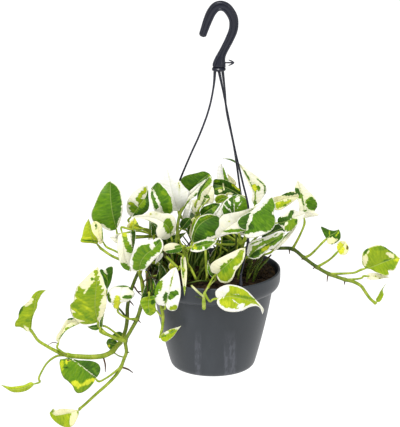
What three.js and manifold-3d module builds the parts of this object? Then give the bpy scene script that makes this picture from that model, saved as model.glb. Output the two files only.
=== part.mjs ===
// A variegated pothos in a plastic hanging pot with a moulded hook hanger.
// Millimetres, +Z up. The pieces are laid out in the pot's frame, whose origin is the centre of the
// pot's underside. The finished group is shifted so that its origin is the seat inside the hook.

import * as THREE from 'three';
import { mergeVertices } from 'three/addons/utils/BufferGeometryUtils.js';
import Module from 'manifold-3d';

const wasm = await Module();
wasm.setup();

// Driving dimensions of the pot
const POT_HEIGHT = 113;
const RIM_RADIUS = 75;
const RIM_INNER_RADIUS = 72.2;
const BODY_TOP_RADIUS = 66.3;
const BASE_RADIUS = 47.4;
const WALL = 1.8;
const FLOOR = 2.4;
const COLLAR_HEIGHT = 22;
const POT_SEGMENTS = 48;

// Driving dimensions of the hanger
const SEAT = [6, 0, 405];
const HOOK_FLATNESS = 0.8;
const HOOK_SIDES = 12;
const HOOK_STEPS = 34;
const BARB_LEVEL = 346.9;
const FOOT_RADIUS = 7.7;
const FOOT_CENTRE = 6.1;
const FOOT_BOTTOM = 338.3;
const STRAND_RADIUS = 1.15;
const STRAND_ROOT_RADIUS = 1.7;
const STRAND_STEPS = 26;
const CLIP_WIDTH = 5;
const CLIP_THICKNESS = 1.8;
const CLIP_LENGTH = 17;
const CLIP_PRONG_HEIGHT = 3;
const CLIP_PRONG_LEVEL = 104;
const GAP = 0.3;

// Soil
const SOIL_RADIUS = 69;
const SOIL_EDGE_LEVEL = 108.5;
const SOIL_HEAP = 3.5;
const SOIL_WALL_GAP = 0.5;

// Plant
const BLADE_THICKNESS = 0.9;
const BLADE_BULGE = 0.12;
const LEAST_BLADE_ROWS = 6;
const BLADE_COLUMNS = 6;
const ROW_BUNCHING = 1.15;
const STALK_RADIUS = 1.15;
const STALK_END_RADIUS = 0.75;
const STALK_SIDES = 6;
const STALK_STEPS = 8;
const STALK_GAP = 0.8;
const PEG_SIDES = 5;
const STEM_SIDES = 8;
const STEM_STEPS_PER_POINT = 2.2;
const PEG_TAPER = 0.55;

// The reference view. Plant pieces are placed by a picture point and by how far in front of the pot's
// axis they stand: [picture x, picture y, near].
const VIEW = {
  distance: 3000,
  focal: 2720,
  pitch: THREE.MathUtils.degToRad(16.8),
  centreX: 200,
  centreY: 213.5,
  target: new THREE.Vector3(-14.3, 0, 176),
};
const PICTURE_POINT = VIEW.distance / VIEW.focal;
const EYE = new THREE.Vector3(
  VIEW.target.x,
  -VIEW.distance * Math.cos(VIEW.pitch),
  VIEW.target.z + VIEW.distance * Math.sin(VIEW.pitch),
);

function at([pictureX, pictureY, near]) {
  const up = VIEW.centreY - pictureY;
  const ray = new THREE.Vector3(
    pictureX - VIEW.centreX,
    VIEW.focal * Math.cos(VIEW.pitch) + up * Math.sin(VIEW.pitch),
    -VIEW.focal * Math.sin(VIEW.pitch) + up * Math.cos(VIEW.pitch),
  );
  return EYE.clone().addScaledVector(ray, (-near - EYE.y) / ray.y);
}

// Materials
function material(color, roughness) {
  return new THREE.MeshStandardMaterial({ color, roughness, metalness: 0 });
}

const MATERIALS = {
  plastic: material(0x484d52, 0.4),
  soil: material(0x2c1d13, 0.95),
  stem: material(0x66803a, 0.5),
  green: material(0x4f7a25, 0.4),
  lime: material(0x9dbb2e, 0.4),
  white: material(0xe9e6d2, 0.45),
};

// Solids and meshes
function toSolid(geometry) {
  const bare = geometry.clone();
  bare.deleteAttribute('normal');
  bare.deleteAttribute('uv');
  const merged = mergeVertices(bare, 1e-4);
  return new wasm.Manifold(new wasm.Mesh({
    numProp: 3,
    vertProperties: new Float32Array(merged.attributes.position.array),
    triVerts: new Uint32Array(merged.index.array),
  }));
}

function fromSolid(solid) {
  const mesh = solid.getMesh();
  const geometry = new THREE.BufferGeometry();
  geometry.setAttribute('position', new THREE.BufferAttribute(mesh.vertProperties, 3));
  geometry.setIndex(new THREE.BufferAttribute(mesh.triVerts, 1));
  return geometry;
}

function join(geometries) {
  const solids = geometries.map(toSolid);
  return fromSolid(solids.reduce((whole, piece) => whole.add(piece)));
}

function cut(geometry, tools) {
  return fromSolid(tools.map(toSolid).reduce((whole, tool) => whole.subtract(tool), toSolid(geometry)));
}

function indexedGeometry(points, faces) {
  const geometry = new THREE.BufferGeometry();
  geometry.setAttribute('position', new THREE.Float32BufferAttribute(points.flatMap((p) => p.toArray()), 3));
  geometry.setIndex(faces.flat());
  return geometry;
}

function named(name, geometry, look) {
  geometry.computeVertexNormals();
  const mesh = new THREE.Mesh(geometry, look);
  mesh.name = name;
  return mesh;
}

// A closed round bar along a curve, its radius given for each fraction of the length
function bar(curve, radiusAt, sides, steps) {
  const frames = curve.computeFrenetFrames(steps, false);
  const points = [];
  const faces = [];
  for (let i = 0; i <= steps; i++) {
    const centre = curve.getPointAt(i / steps);
    const radius = radiusAt(i / steps);
    for (let j = 0; j < sides; j++) {
      const angle = (2 * Math.PI * j) / sides;
      points.push(centre.clone()
        .addScaledVector(frames.normals[i], radius * Math.cos(angle))
        .addScaledVector(frames.binormals[i], radius * Math.sin(angle)));
    }
  }
  for (let i = 0; i < steps; i++) {
    for (let j = 0; j < sides; j++) {
      const next = (j + 1) % sides;
      const [a, b] = [i * sides + j, i * sides + next];
      faces.push([a, b, b + sides], [a, b + sides, a + sides]);
    }
  }
  const start = points.length;
  const last = steps * sides;
  points.push(curve.getPointAt(0), curve.getPointAt(1));
  for (let j = 0; j < sides; j++) {
    const next = (j + 1) % sides;
    faces.push([start, next, j], [start + 1, last + j, last + next]);
  }
  return indexedGeometry(points, faces);
}

function smoothCurve(points) {
  return new THREE.CatmullRomCurve3(points, false, 'centripetal');
}

function taper(from, to) {
  return (fraction) => from + (to - from) * fraction;
}

// The pot: a tapering bucket whose top turns out into a collar
function bodyRadius(level) {
  const t = level / (POT_HEIGHT - COLLAR_HEIGHT);
  return BASE_RADIUS - 1.6 + (BODY_TOP_RADIUS - BASE_RADIUS + 1.9) * (1.28 * t - 0.28 * t * t);
}

function potProfile() {
  const collarFoot = POT_HEIGHT - COLLAR_HEIGHT;
  const outer = [[0, 0], [40, 0], [43.6, 0.8], [46.2, 3]];
  const inner = [];
  for (const level of [7, 22, 40, 60, 78, collarFoot]) {
    outer.push([bodyRadius(level), level]);
    inner.unshift([bodyRadius(level) - WALL, level]);
  }
  outer.push([70.5, collarFoot + 1.4], [73.8, collarFoot + 5], [RIM_RADIUS, collarFoot + 10]);
  outer.push([RIM_RADIUS, POT_HEIGHT - 1.2], [RIM_RADIUS - 0.7, POT_HEIGHT]);
  outer.push([RIM_INNER_RADIUS + 0.6, POT_HEIGHT], [RIM_INNER_RADIUS, POT_HEIGHT - 1]);
  outer.push([RIM_INNER_RADIUS, collarFoot + 10], [RIM_INNER_RADIUS - 1.4, collarFoot + 6]);
  outer.push([68, collarFoot + 3.2]);
  return [...outer, ...inner, [40, FLOOR], [0, FLOOR]].map(([r, z]) => new THREE.Vector2(r, z));
}

// Where the three strands reach the rim, as a turn from the front towards the right
const CLIPS = { left: -95, front: 25, back: 145 };

function turned(geometry, degrees) {
  return geometry.rotateZ(THREE.MathUtils.degToRad(degrees));
}

function clipSlot(degrees) {
  const slot = new THREE.BoxGeometry(CLIP_WIDTH + 2 * GAP, 12, CLIP_PRONG_HEIGHT + 2 * GAP);
  slot.translate(0, -RIM_RADIUS, CLIP_PRONG_LEVEL);
  return turned(slot, degrees);
}

function pot() {
  const shell = new THREE.LatheGeometry(potProfile(), POT_SEGMENTS).rotateX(Math.PI / 2);
  return named('pot', cut(shell, Object.values(CLIPS).map(clipSlot)), MATERIALS.plastic);
}

// The soil fills the pot and is heaped a little in the middle, with a lumpy top
function soil() {
  const profile = [[0, FLOOR + SOIL_WALL_GAP], [40, FLOOR + SOIL_WALL_GAP]];
  const collarFoot = POT_HEIGHT - COLLAR_HEIGHT;
  for (const level of [8, 45, collarFoot]) {
    profile.push([bodyRadius(level) - WALL - SOIL_WALL_GAP, level]);
  }
  profile.push([67.2, collarFoot + 4.2], [SOIL_RADIUS, collarFoot + 7], [SOIL_RADIUS, SOIL_EDGE_LEVEL]);
  for (const radius of [60, 45, 28, 12, 0]) {
    profile.push([radius, SOIL_EDGE_LEVEL + SOIL_HEAP * (1 - (radius / SOIL_RADIUS) ** 2)]);
  }
  const points = profile.map(([r, z]) => new THREE.Vector2(r, z));
  const geometry = new THREE.LatheGeometry(points, 28).rotateX(Math.PI / 2);
  const position = geometry.attributes.position;
  for (let i = 0; i < position.count; i++) {
    const [x, y, z] = [position.getX(i), position.getY(i), position.getZ(i)];
    if (z > SOIL_EDGE_LEVEL - 1) {
      position.setZ(i, z + 0.7 * Math.sin(x * 0.21) * Math.cos(y * 0.17));
    }
  }
  return named('soil', fromSolid(toSolid(geometry)), MATERIALS.soil);
}

// The hook: a bar bent into a crook that flares into a round foot with a label barb.
// Each point of the crook is an x, a level and the bar's radius there.
const CROOK = [
  [-11.4, 378, 4.1], [-9.4, 384, 4.3], [-5.7, 394.6, 4.8], [-1.6, 403.4, 5.0], [3.2, 408.7, 5.05],
  [8.2, 410, 5.05], [13.6, 408.2, 5.05], [18.4, 402.8, 5.1], [21.7, 396, 5.1], [22.3, 389.5, 5.0],
  [21.5, 383, 4.8], [17.3, 372.3, 4.5], [11.8, 361.2, 4.3], [9.2, 355.6, 4.6], [7.4, 350, 5.8],
  [6.5, 344.5, 7.1], [6.1, 340, 7.5],
];

function crookRadius(share) {
  const lengths = [0];
  for (let i = 1; i < CROOK.length; i++) {
    const [x, z] = CROOK[i];
    const [lastX, lastZ] = CROOK[i - 1];
    lengths.push(lengths[i - 1] + Math.hypot(x - lastX, z - lastZ));
  }
  const wanted = share * lengths.at(-1);
  const i = Math.min(CROOK.length - 2, lengths.findLastIndex((length) => length <= wanted));
  const part = (wanted - lengths[i]) / (lengths[i + 1] - lengths[i]);
  return THREE.MathUtils.lerp(CROOK[i][2], CROOK[i + 1][2], part);
}

function hook() {
  const crook = smoothCurve(CROOK.map(([x, z]) => new THREE.Vector3(x, 0, z)));
  const stock = bar(crook, crookRadius, HOOK_SIDES, HOOK_STEPS).scale(1, HOOK_FLATNESS, 1);
  const footProfile = [
    [0, 0], [FOOT_RADIUS - 0.8, 0], [FOOT_RADIUS, 0.7], [FOOT_RADIUS, 2.3], [6.9, 3.1], [6.4, 4], [0, 4],
  ].map(([r, z]) => new THREE.Vector2(r, z));
  const foot = new THREE.LatheGeometry(footProfile, 20).rotateX(Math.PI / 2);
  foot.translate(FOOT_CENTRE, 0, FOOT_BOTTOM);
  const barbStem = new THREE.CylinderGeometry(0.8, 0.8, 10, 8).rotateZ(Math.PI / 2);
  const barbHead = new THREE.ConeGeometry(2.6, 5, 8).rotateZ(-Math.PI / 2);
  const barb = [barbStem.translate(15, 0, BARB_LEVEL), barbHead.translate(20.3, 0, BARB_LEVEL)];
  return named('hanger_hook', join([stock, foot, ...barb]), MATERIALS.plastic);
}

// The strands, from the foot of the hook to the clip at the rim
const STRANDS = {
  left: [[1.9, 0, 337.9], [1, 0.4, 324], [-2.1, 1, 305], [-5.6, 1.5, 291], [-10.1, 2, 277.5],
    [-16.3, 2.7, 261.5], [-23.3, 3.5, 245.5], [-36.3, 4.8, 213.5], [-47.5, 5.3, 183],
    [-59, 5.6, 152], [-67.5, 6, 128]],
  front: [[6.4, -4.2, 337.9], [11, -7, 316], [15, -10.5, 296.5], [23.7, -24, 255.3], [32, -35, 222],
    [38.4, -42.5, 194.4], [38, -53, 164], [33.6, -59, 141.5], [30.4, -62.6, 127]],
  back: [[10.2, 3, 337.9], [12.8, 6.5, 314], [14.6, 10.4, 291.3], [23.2, 22.6, 246], [31.7, 40.5, 183.7],
    [38, 51.5, 145], [40.4, 56, 127]],
};

function strand(name, degrees) {
  const radius = RIM_INNER_RADIUS - GAP - CLIP_THICKNESS / 2;
  const tab = new THREE.BoxGeometry(CLIP_WIDTH, CLIP_THICKNESS, CLIP_LENGTH);
  tab.translate(0, -radius, POT_HEIGHT + 6 - CLIP_LENGTH / 2);
  const prongDepth = RIM_RADIUS - radius - 0.2;
  const prong = new THREE.BoxGeometry(CLIP_WIDTH, prongDepth, CLIP_PRONG_HEIGHT);
  prong.translate(0, -radius - prongDepth / 2, CLIP_PRONG_LEVEL);
  const turn = THREE.MathUtils.degToRad(degrees);
  const head = new THREE.Vector3(radius * Math.sin(turn), -radius * Math.cos(turn), POT_HEIGHT + 5);
  const route = STRANDS[name].map((p) => new THREE.Vector3(...p));
  const section = new THREE.Shape().absarc(0, 0, STRAND_RADIUS, 0, 2 * Math.PI);
  const line = new THREE.ExtrudeGeometry(section, {
    extrudePath: smoothCurve([...route, head]), steps: STRAND_STEPS, curveSegments: 4, bevelEnabled: false,
  });
  const root = bar(smoothCurve(route.slice(0, 2)), taper(STRAND_ROOT_RADIUS, STRAND_RADIUS * 0.8), 8, 2);
  const pieces = [line, root, turned(tab, degrees), turned(prong, degrees)];
  return named(`strand_${name}`, join(pieces), MATERIALS.plastic);
}

// Stems. The first point of each stands in the soil. Leaf stalks grow from the numbered points.
// pegs are aerial roots and bare side shoots: [root radius, point number, further points].
const STEMS = {
  vine_left_low: {
    radius: [2.1, 1.0],
    route: [[168, 274, 30], [158, 264, 38], [148, 263, 45], [140, 272, 47], [142.5, 283, 47],
      [144, 296, 45], [141, 306.5, 41.5], [137, 319, 38], [130.5, 331, 36], [125.5, 341, 35],
      [126.4, 352, 34], [124, 359, 33], [121, 367, 32], [116.5, 374.5, 31], [107, 384.5, 31],
      [97, 393.3, 31], [86.5, 403, 31], [79.5, 409, 31]],
    pegs: [[0.9, 12, [132, 372.5, 34]], [0.9, 7, [140.5, 322.5, 42]]],
  },
  vine_left_out: {
    radius: [2.0, 1.1],
    route: [[166, 271, 16], [154, 259, 22], [144, 262, 28], [138, 273, 32], [133, 285, 32],
      [129.5, 296, 31], [127.4, 308, 29], [127.2, 319, 27], [125.5, 330, 26], [122, 339, 26],
      [118, 344.8, 26], [112.5, 351.2, 26], [104, 355.6, 26], [92, 357, 26], [80, 356.6, 26],
      [68, 355.3, 26], [57, 351.5, 26], [46, 345.6, 26], [38, 340.3, 26], [33.2, 333.5, 27],
      [31, 330.5, 28]],
    pegs: [[0.9, 12, [105, 371, 28]], [0.9, 4, [142.5, 296, 38]], [0.9, 6, [133.5, 305.5, 32]]],
  },
  vine_right: {
    radius: [2.0, 1.0],
    route: [[246, 262, -4], [254, 252, -8], [264, 249, -10], [281, 248.2, -10], [292.5, 249, -10],
      [304, 257.7, -10], [317, 267.2, -9], [329, 274, -8], [336, 276.6, -7], [345, 279.6, -6],
      [354, 282, -5], [361, 286, -4], [366, 293, -4], [370.5, 299, -4], [375.5, 303.3, -4]],
    pegs: [
      [0.9, 4, [289.5, 254, -8]],
      [0.9, 5, [302, 259.5, -8]],
      [0.9, 6, [313, 269.5, -7]],
      [0.9, 7, [327, 282, -7]],
      [0.9, 9, [345, 284.5, -5]],
      [1.3, 2, [259, 259, 12], [253, 267, 23], [248.5, 276, 31]],
      [1.2, 1, [249, 263, 6], [245.5, 269.5, 7]],
    ],
  },
  shoot_front: {
    radius: [1.9, 1.7],
    route: [[216, 279.5, 50], [215.5, 280, 60], [212, 283, 70], [208, 287.5, 78], [204.5, 293.5, 81.5],
      [203.8, 300, 81], [204, 308.5, 80]],
    pegs: [[0.9, 4, [192.8, 286.5, 79]]],
  },
  shoot_hanging: {
    radius: [1.7, 1.1],
    route: [[169, 270, 34], [163, 262, 44], [160.2, 268, 56], [159.8, 282, 61], [160.5, 296, 61.5],
      [161.6, 308, 59], [162.9, 316, 57.5], [162.6, 325, 56.5], [161.2, 333, 56]],
    pegs: [],
  },
  crown_left: {
    radius: [2.4, 1.7],
    route: [[170, 267, 4], [168, 260, 5], [165, 252, 6], [161, 244, 8], [157, 236, 9]],
    pegs: [],
  },
  crown_front: {
    radius: [2.4, 1.7],
    route: [[188, 277, 38], [187, 270, 42], [186, 263, 44], [185, 256, 45], [184, 249, 44]],
    pegs: [
      [1.8, 3, [178, 246, 37], [177.5, 234, 34], [178.2, 222, 30], [180.5, 213, 22], [184, 207, 16]],
      [1.6, 1, [180, 266.5, 57], [172, 262, 55], [166.5, 256.5, 53]],
      [1.1, 1, [196, 268, 44], [205, 256, 42], [206, 249, 40]],
      [1.1, 1, [193, 279, 54], [200, 279.4, 56], [207.5, 280, 54]],
    ],
  },
  crown_right: {
    radius: [2.4, 1.7],
    route: [[238, 274.5, 26], [239, 267, 26], [240, 260, 27], [241, 252, 28], [242, 245, 29]],
    pegs: [],
  },
  crown_back: {
    radius: [2.4, 1.7],
    route: [[208, 260.5, -26], [207, 253, -26], [206, 245, -26], [206, 237, -25], [207, 229, -24]],
    pegs: [],
  },
};

// Leaf blades. rib is the midrib from base to tip, in picture points with their nearness. left and right are
// the margins beside it, seen from base to tip, as picture points. A leaf with a width instead has a plain
// heart-shaped outline. lift is how much nearer the left and the right half get per millimetre away from the
// midrib. The stalk leaves its stem at point `node` and passes the points in via.
const LEAVES = {
  leaf_upper_left: {
    look: 'green', stem: 'crown_left', node: 4, lift: [0.1, 0.55],
    via: [[139, 231, 12], [125, 233, 13]],
    rib: [[116.5, 229.5, 12], [112.5, 213, 16], [110.5, 196, 13], [110.5, 181, 4]],
    left: [[110, 230.8], [102, 227], [92.5, 220.5], [91.3, 213], [94, 206], [98, 196], [103, 187.3],
      [107, 182.3]],
    right: [[119.3, 224], [122.2, 214], [123.1, 205], [121.3, 195], [119.8, 189.5], [115.5, 184.3]],
  },
  leaf_far_left: {
    look: 'lime', stem: 'vine_left_low', node: 3, lift: [0.25, 0.4],
    via: [[128, 263, 34], [112, 256, 28], [101, 248.5, 18]],
    rib: [[97.5, 244.5, 10], [93, 239, 12], [90, 229, 9], [88.7, 218.3, 4]],
    left: [[92, 243.3], [86, 243], [80.5, 241.7], [82, 236], [83.2, 230], [85, 224.5]],
    right: [[98.3, 240], [96, 236], [92.8, 232], [91, 225]],
  },
  leaf_left_rolled: {
    look: 'white', stem: 'vine_left_low', node: 3, lift: [0.3, 0.6],
    via: [[130, 260, 33], [116, 251.5, 30]],
    rib: [[103.5, 242.5, 21.5], [99.5, 236, 24.5], [97.5, 228, 22.5], [93.5, 220.8, 17.5]],
    left: [[99.5, 244], [97, 238], [93, 233], [91, 226]],
    right: [[103.2, 237], [102.6, 230], [101.2, 225], [97, 221.5]],
  },
  leaf_left_droop: {
    look: 'white', stem: 'crown_left', node: 4, lift: [0.1, 0.1],
    via: [[146, 229, 24], [131, 229.5, 34]],
    rib: [[122, 232.5, 38], [123.5, 244, 46], [125, 257, 46], [131.5, 271.7, 41]],
    left: [[128, 233.5], [131.5, 240], [132.5, 248], [133, 256], [130.5, 264]],
    right: [[118.5, 235.5], [117.3, 243], [117.5, 250], [118.5, 257], [120, 263], [124, 268.8]],
  },
  leaf_left_spotted: {
    look: 'lime', stem: 'crown_left', node: 4, lift: [0.1, 0.2],
    via: [[141, 228, 6]],
    rib: [[131, 217, 0], [139, 206, 5], [145, 197, 3], [147.5, 185, -4]],
    left: [[127.5, 213], [126.5, 207], [127.5, 200.5], [131, 195], [137, 189.3], [142, 186.5]],
    right: [[137, 216.8], [143.5, 214], [148, 210], [149.4, 205], [148.6, 197], [148.4, 190]],
  },
  leaf_two_patch: {
    look: 'green', stem: 'crown_left', node: 4,
    rib: [[162.5, 214.5, 22], [159.5, 205, 25], [156, 195, 21], [150.8, 188.3, 14]],
    left: [[157, 213.8], [153.3, 208.5], [151, 202], [149.6, 195.5]],
    right: [[169, 214.5], [173.5, 211], [173.3, 204], [171, 196], [165.5, 187.7], [160.5, 182.8],
      [157.8, 181.4], [154, 184.5]],
  },
  leaf_white_tall: {
    look: 'white', stem: 'crown_back', node: 3,
    rib: [[178, 211, 8], [174, 198, 13], [170.3, 184, 11], [167.5, 169.5, 6]],
    left: [[172, 210], [168.5, 202], [163, 191], [158.5, 182.5], [163.5, 176]],
    right: [[184, 205], [188, 197.5], [189.2, 191.8], [184.5, 186.8], [180.3, 181.5], [174.3, 176.3]],
  },
  leaf_back_dark: {
    look: 'green', stem: 'crown_back', node: 4, lift: [0.15, 0.3],
    rib: [[189, 192, -14], [196, 184.5, -14], [203, 178.5, -17], [209.5, 173.5, -22]],
    left: [[184.3, 186.5], [180.6, 181], [183, 177], [188, 174.8], [196, 173], [204, 171.2]],
    right: [[193, 189], [198, 184], [204, 181.8], [209.5, 182], [212, 178.5]],
  },
  leaf_white_star: {
    look: 'white', stem: 'crown_left', node: 2,
    rib: [[171, 237, 32], [168, 227, 37], [158, 219.5, 37], [145, 217, 33], [130.5, 217, 28]],
    left: [[166, 239.5], [158.5, 238], [155.8, 231], [157.5, 225.5], [150, 221.5], [143, 219], [136, 218]],
    right: [[175, 232], [176.3, 224], [174.5, 217.3], [169, 213.6], [162, 213.3], [155, 211.3], [150, 211.5],
      [144, 214.3], [137, 215.3]],
  },
  leaf_front_left: {
    look: 'green', stem: 'vine_left_low', node: 3, lift: [0.05, 0.3],
    rib: [[139.5, 270.5, 52], [140.7, 262, 57], [146, 254.5, 60], [154, 248.3, 62], [161.8, 239.3, 60]],
    left: [[133, 271.3], [129.5, 264], [131, 256.5], [134, 250], [138, 245], [145, 242.6], [151, 241.8],
      [155.5, 238.6], [159, 237.5]],
    right: [[144.5, 270], [150, 264.5], [155, 259], [161, 252.5], [163.4, 247], [163, 242.5]],
  },
  leaf_cream_low: {
    look: 'white', stem: 'crown_front', node: 4,
    rib: [[182, 246.5, 51], [173, 248.7, 55], [163, 250.5, 58]],
    left: [[181.5, 251], [176, 253], [168, 253.3]],
    right: [[179, 244.3], [173, 242.8], [167, 244], [163.3, 247]],
  },
  leaf_hanging_white: {
    look: 'white', stem: 'shoot_hanging', node: 5, lift: [0.15, 0.1],
    rib: [[165.5, 306, 68], [168, 296, 71], [171, 284, 70], [176, 267, 60]],
    left: [[158, 304.5], [155, 299.5], [154.5, 292], [156.5, 285], [160, 279.8], [166, 274.5], [171, 269.3]],
    right: [[168, 309.5], [172.5, 311], [176.8, 309.3], [178.9, 303], [180.6, 296], [181, 289], [180, 281],
      [178, 271.5]],
  },
  leaf_lime_lobed: {
    look: 'lime', stem: 'vine_left_low', node: 5,
    rib: [[149, 296.5, 56], [148.5, 306, 59], [150.5, 316, 60]],
    left: [[154, 295.8], [156, 300], [155.6, 306], [156.3, 311], [153.5, 314.3]],
    right: [[143, 297.5], [139.8, 302], [141.7, 307], [143.5, 310.5], [146.5, 314.5]],
  },
  leaf_front_lime: {
    look: 'lime', stem: 'shoot_front', node: 4, lift: [0.12, 0.08],
    via: [[210, 301.5, 83]],
    rib: [[217.5, 298.5, 82], [228, 296.3, 85], [240, 298, 85], [250, 301, 83], [257.5, 305, 81],
      [262.3, 309.3, 79], [262.6, 314.5, 77]],
    left: [[215.7, 296], [215.5, 291.5], [218.5, 288.3], [223, 285.8], [228.5, 284.5], [234.5, 285],
      [241, 286.8], [246.5, 290], [251, 294.3], [256, 299.7], [260.7, 304.8], [263.8, 309.5]],
    right: [[216.8, 302.5], [219, 306.7], [223.5, 310.2], [230, 312], [237, 311.9], [243, 310.5],
      [248, 307.8], [252, 306.4], [257, 306.2], [260.3, 308.5], [261.4, 311.5]],
  },
  leaf_front_cream: {
    look: 'lime', stem: 'shoot_front', node: 3, lift: [0.2, 0.1],
    rib: [[216.8, 274, 68], [223, 268.3, 72], [231, 260.8, 71], [239, 253.3, 67], [245.3, 248, 62]],
    left: [[212, 272.5], [210.2, 269], [210.6, 265], [214, 261.4], [221, 257.5], [229, 253.6], [236, 250.3],
      [241.5, 248]],
    right: [[217.3, 278], [220.5, 282.2], [226, 283.4], [231, 281.3], [233.9, 276.8], [235.8, 271.5],
      [239.3, 266.8], [243, 262.3], [245.8, 257.5], [246.4, 252]],
  },
  leaf_centre_green: {
    look: 'green', stem: 'crown_front', node: 4, lift: [0.3, 0.1],
    rib: [[193, 242.5, 39], [194.7, 233, 43], [199, 225.3, 41], [206.5, 219.8, 37], [217.5, 215.5, 28]],
    left: [[191, 238], [192.7, 230], [195.5, 222.5], [199, 217.3], [204, 214.8], [210, 213.8]],
    right: [[197, 243.8], [203, 240.5], [210, 239.8], [216.5, 237.8], [221, 232], [222.3, 226],
      [221.5, 219.5]],
  },
  leaf_centre_low: {
    look: 'green', stem: 'crown_front', node: 4,
    rib: [[192.5, 247, 54], [201, 245.3, 58], [210, 243.3, 60], [216.8, 241.3, 62]],
    left: [[193.5, 243.5], [199, 241.2], [206, 239.5], [212.5, 239.8]],
    right: [[190.3, 250.5], [196, 252.2], [203.5, 250.8], [209.5, 248.4], [214, 244.7]],
  },
  leaf_centre_upper: {
    look: 'green', stem: 'crown_right', node: 4,
    rib: [[234.5, 212.8, 26], [234.2, 205, 27], [232.7, 195.3, 20]],
    left: [[229, 214.7], [223, 215.5], [221.2, 210], [222.8, 203.5], [227.5, 198.6]],
    right: [[241, 212.2], [247.3, 210.7], [247.9, 204], [245.8, 198.3], [239.5, 194.8]],
  },
  leaf_centre_white: {
    look: 'white', stem: 'crown_right', node: 4, lift: [0.2, 0.15],
    rib: [[216, 239, 54], [226, 229, 58], [240, 219.5, 58], [262, 204.5, 50]],
    left: [[215.3, 232], [219, 226], [219.3, 219], [222.5, 215.3], [231, 213], [240, 211.3], [250, 208.3],
      [257, 205.3]],
    right: [[223, 236], [231, 233.9], [240, 232.9], [250, 228], [258, 215], [262, 208.5]],
  },
  leaf_right_pointed: {
    look: 'green', stem: 'crown_right', node: 3, lift: [0.2, 0.05],
    rib: [[247.3, 230.3, 66], [249.2, 220.5, 68], [253.5, 213.5, 66], [262, 206.8, 62], [272.5, 196.8, 56]],
    left: [[242, 229.4], [238, 226], [236.7, 222.3], [239.5, 217.8], [246, 214], [251, 211.3], [256, 206.8],
      [263, 202.3], [268, 198.3]],
    right: [[244.3, 233], [245.5, 237], [251, 238.2], [259, 236.5], [266, 233.9], [271.5, 230.5],
      [275.1, 225], [275.6, 219], [273.8, 213.3], [275.6, 207], [274.1, 201]],
  },
  leaf_right_front_long: {
    look: 'green', stem: 'crown_right', node: 1, lift: [0.25, 0.05],
    rib: [[247.5, 256.8, 46], [256, 250.5, 50], [266, 244.7, 48], [276, 238.7, 42], [285, 233, 34]],
    left: [[246.2, 251], [246.8, 245], [252, 241], [259, 238.3], [266, 236.3], [272, 233.8], [278, 231.2],
      [283, 230.9]],
    right: [[252, 259.2], [258.5, 258.4], [263, 254.7], [268.5, 250.7], [274, 247.4], [279.5, 242.7],
      [283.5, 237.6]],
  },
  leaf_right_white_up: {
    look: 'white', stem: 'crown_right', node: 4,
    rib: [[254.5, 205.5, -14], [255, 196, -17], [251.5, 186, -22], [246, 175.5, -28], [239.5, 165, -36],
      [231.5, 160, -40], [222.3, 158.2, -43]],
    left: [[251.5, 200], [252.3, 193], [249.6, 186.5], [246.2, 179], [243, 172], [239, 166], [231.3, 160.9]],
    right: [[259, 203], [262.5, 198], [266.2, 192], [266.3, 187], [262.5, 181], [256, 175.5], [249, 170.3],
      [243.5, 166.5], [240, 164], [231.8, 159.1]],
  },
  leaf_right_yellow: {
    look: 'lime', stem: 'crown_right', node: 4,
    rib: [[271, 203, 14], [280, 200.5, 17], [290, 197.5, 14], [299, 196.3, 6]],
    left: [[273, 197.8], [281, 195.3], [287, 192.5], [293, 191.3], [297, 192.8]],
    right: [[272.5, 209], [279.5, 210.2], [286.5, 206.5], [293, 201.9], [297.5, 198.5]],
  },
  leaf_right_mid: {
    look: 'white', stem: 'crown_right', node: 3,
    rib: [[277.5, 223, 24], [286, 221.3, 27], [295, 217.3, 23], [306, 213, 14]],
    left: [[278, 218.3], [284, 214.7], [289, 210.7], [293, 209.5], [298, 211.3], [303, 211.3]],
    right: [[282, 227.7], [286.5, 232], [291, 230.2], [296, 226], [300, 221.7], [304, 217.2]],
  },
  leaf_right_top: {
    look: 'white', stem: 'vine_right', node: 4,
    via: [[299.5, 236, -9]],
    rib: [[304.2, 218.5, -8], [303.5, 208, -6], [301, 196, -8], [297.5, 180.3, -12]],
    left: [[300, 217], [299, 211], [299.3, 205], [297.3, 199], [294.8, 192], [295.4, 185.5]],
    right: [[309, 217.3], [315, 216.3], [319, 215], [314.7, 211.5], [317.4, 206.5], [316.7, 201.5],
      [313, 195.6], [308, 190.3], [302, 183.7]],
  },
  leaf_back_tall: {
    look: 'white', stem: 'crown_back', node: 4,
    rib: [[226, 187, -42], [223.3, 178, -44], [221.5, 163.5, -50]],
    left: [[219.5, 184], [217.2, 178.5], [217.2, 171], [218.8, 165.5]],
    right: [[229, 182], [226.7, 176], [224.5, 169.5]],
  },
  leaf_back_flat: {
    look: 'green', stem: 'crown_back', node: 4,
    via: [[224, 214, -26]],
    rib: [[241, 195.5, -22], [232, 190, -19], [224, 186.5, -19], [213, 184, -22]],
    left: [[236, 196.2], [230, 195], [224, 194.3], [218, 195.5], [214, 194], [212.6, 189]],
    right: [[240, 189.6], [236, 186.5], [232, 183], [226, 180], [220, 179], [214, 179.5]],
  },
  leaf_vine_right_folded: {
    look: 'green', stem: 'vine_right', node: 5, lift: [0.3, 0.3],
    via: [[310, 255, -10]],
    rib: [[326.3, 239, -10], [330, 235.5, -14], [335, 233, -20], [339, 229.3, -26]],
    left: [[323.8, 234.5], [321, 226.6], [325, 227.8], [329, 229.6], [334, 230.6]],
    right: [[327.5, 243], [332, 244.5], [337, 242.2], [340.2, 239], [340.6, 233.5]],
  },
  leaf_vine_right_yellow: {
    look: 'lime', stem: 'vine_right', node: 6,
    via: [[329, 260, -8]],
    rib: [[337.8, 251.5, -6], [340.5, 248.5, -10], [344, 244.5, -13], [345.5, 241.4, -16]],
    left: [[336.8, 247], [337.4, 243], [340.5, 240.8]],
    right: [[340.5, 254.7], [345, 255], [348.2, 251.5], [348.7, 247]],
  },
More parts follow.
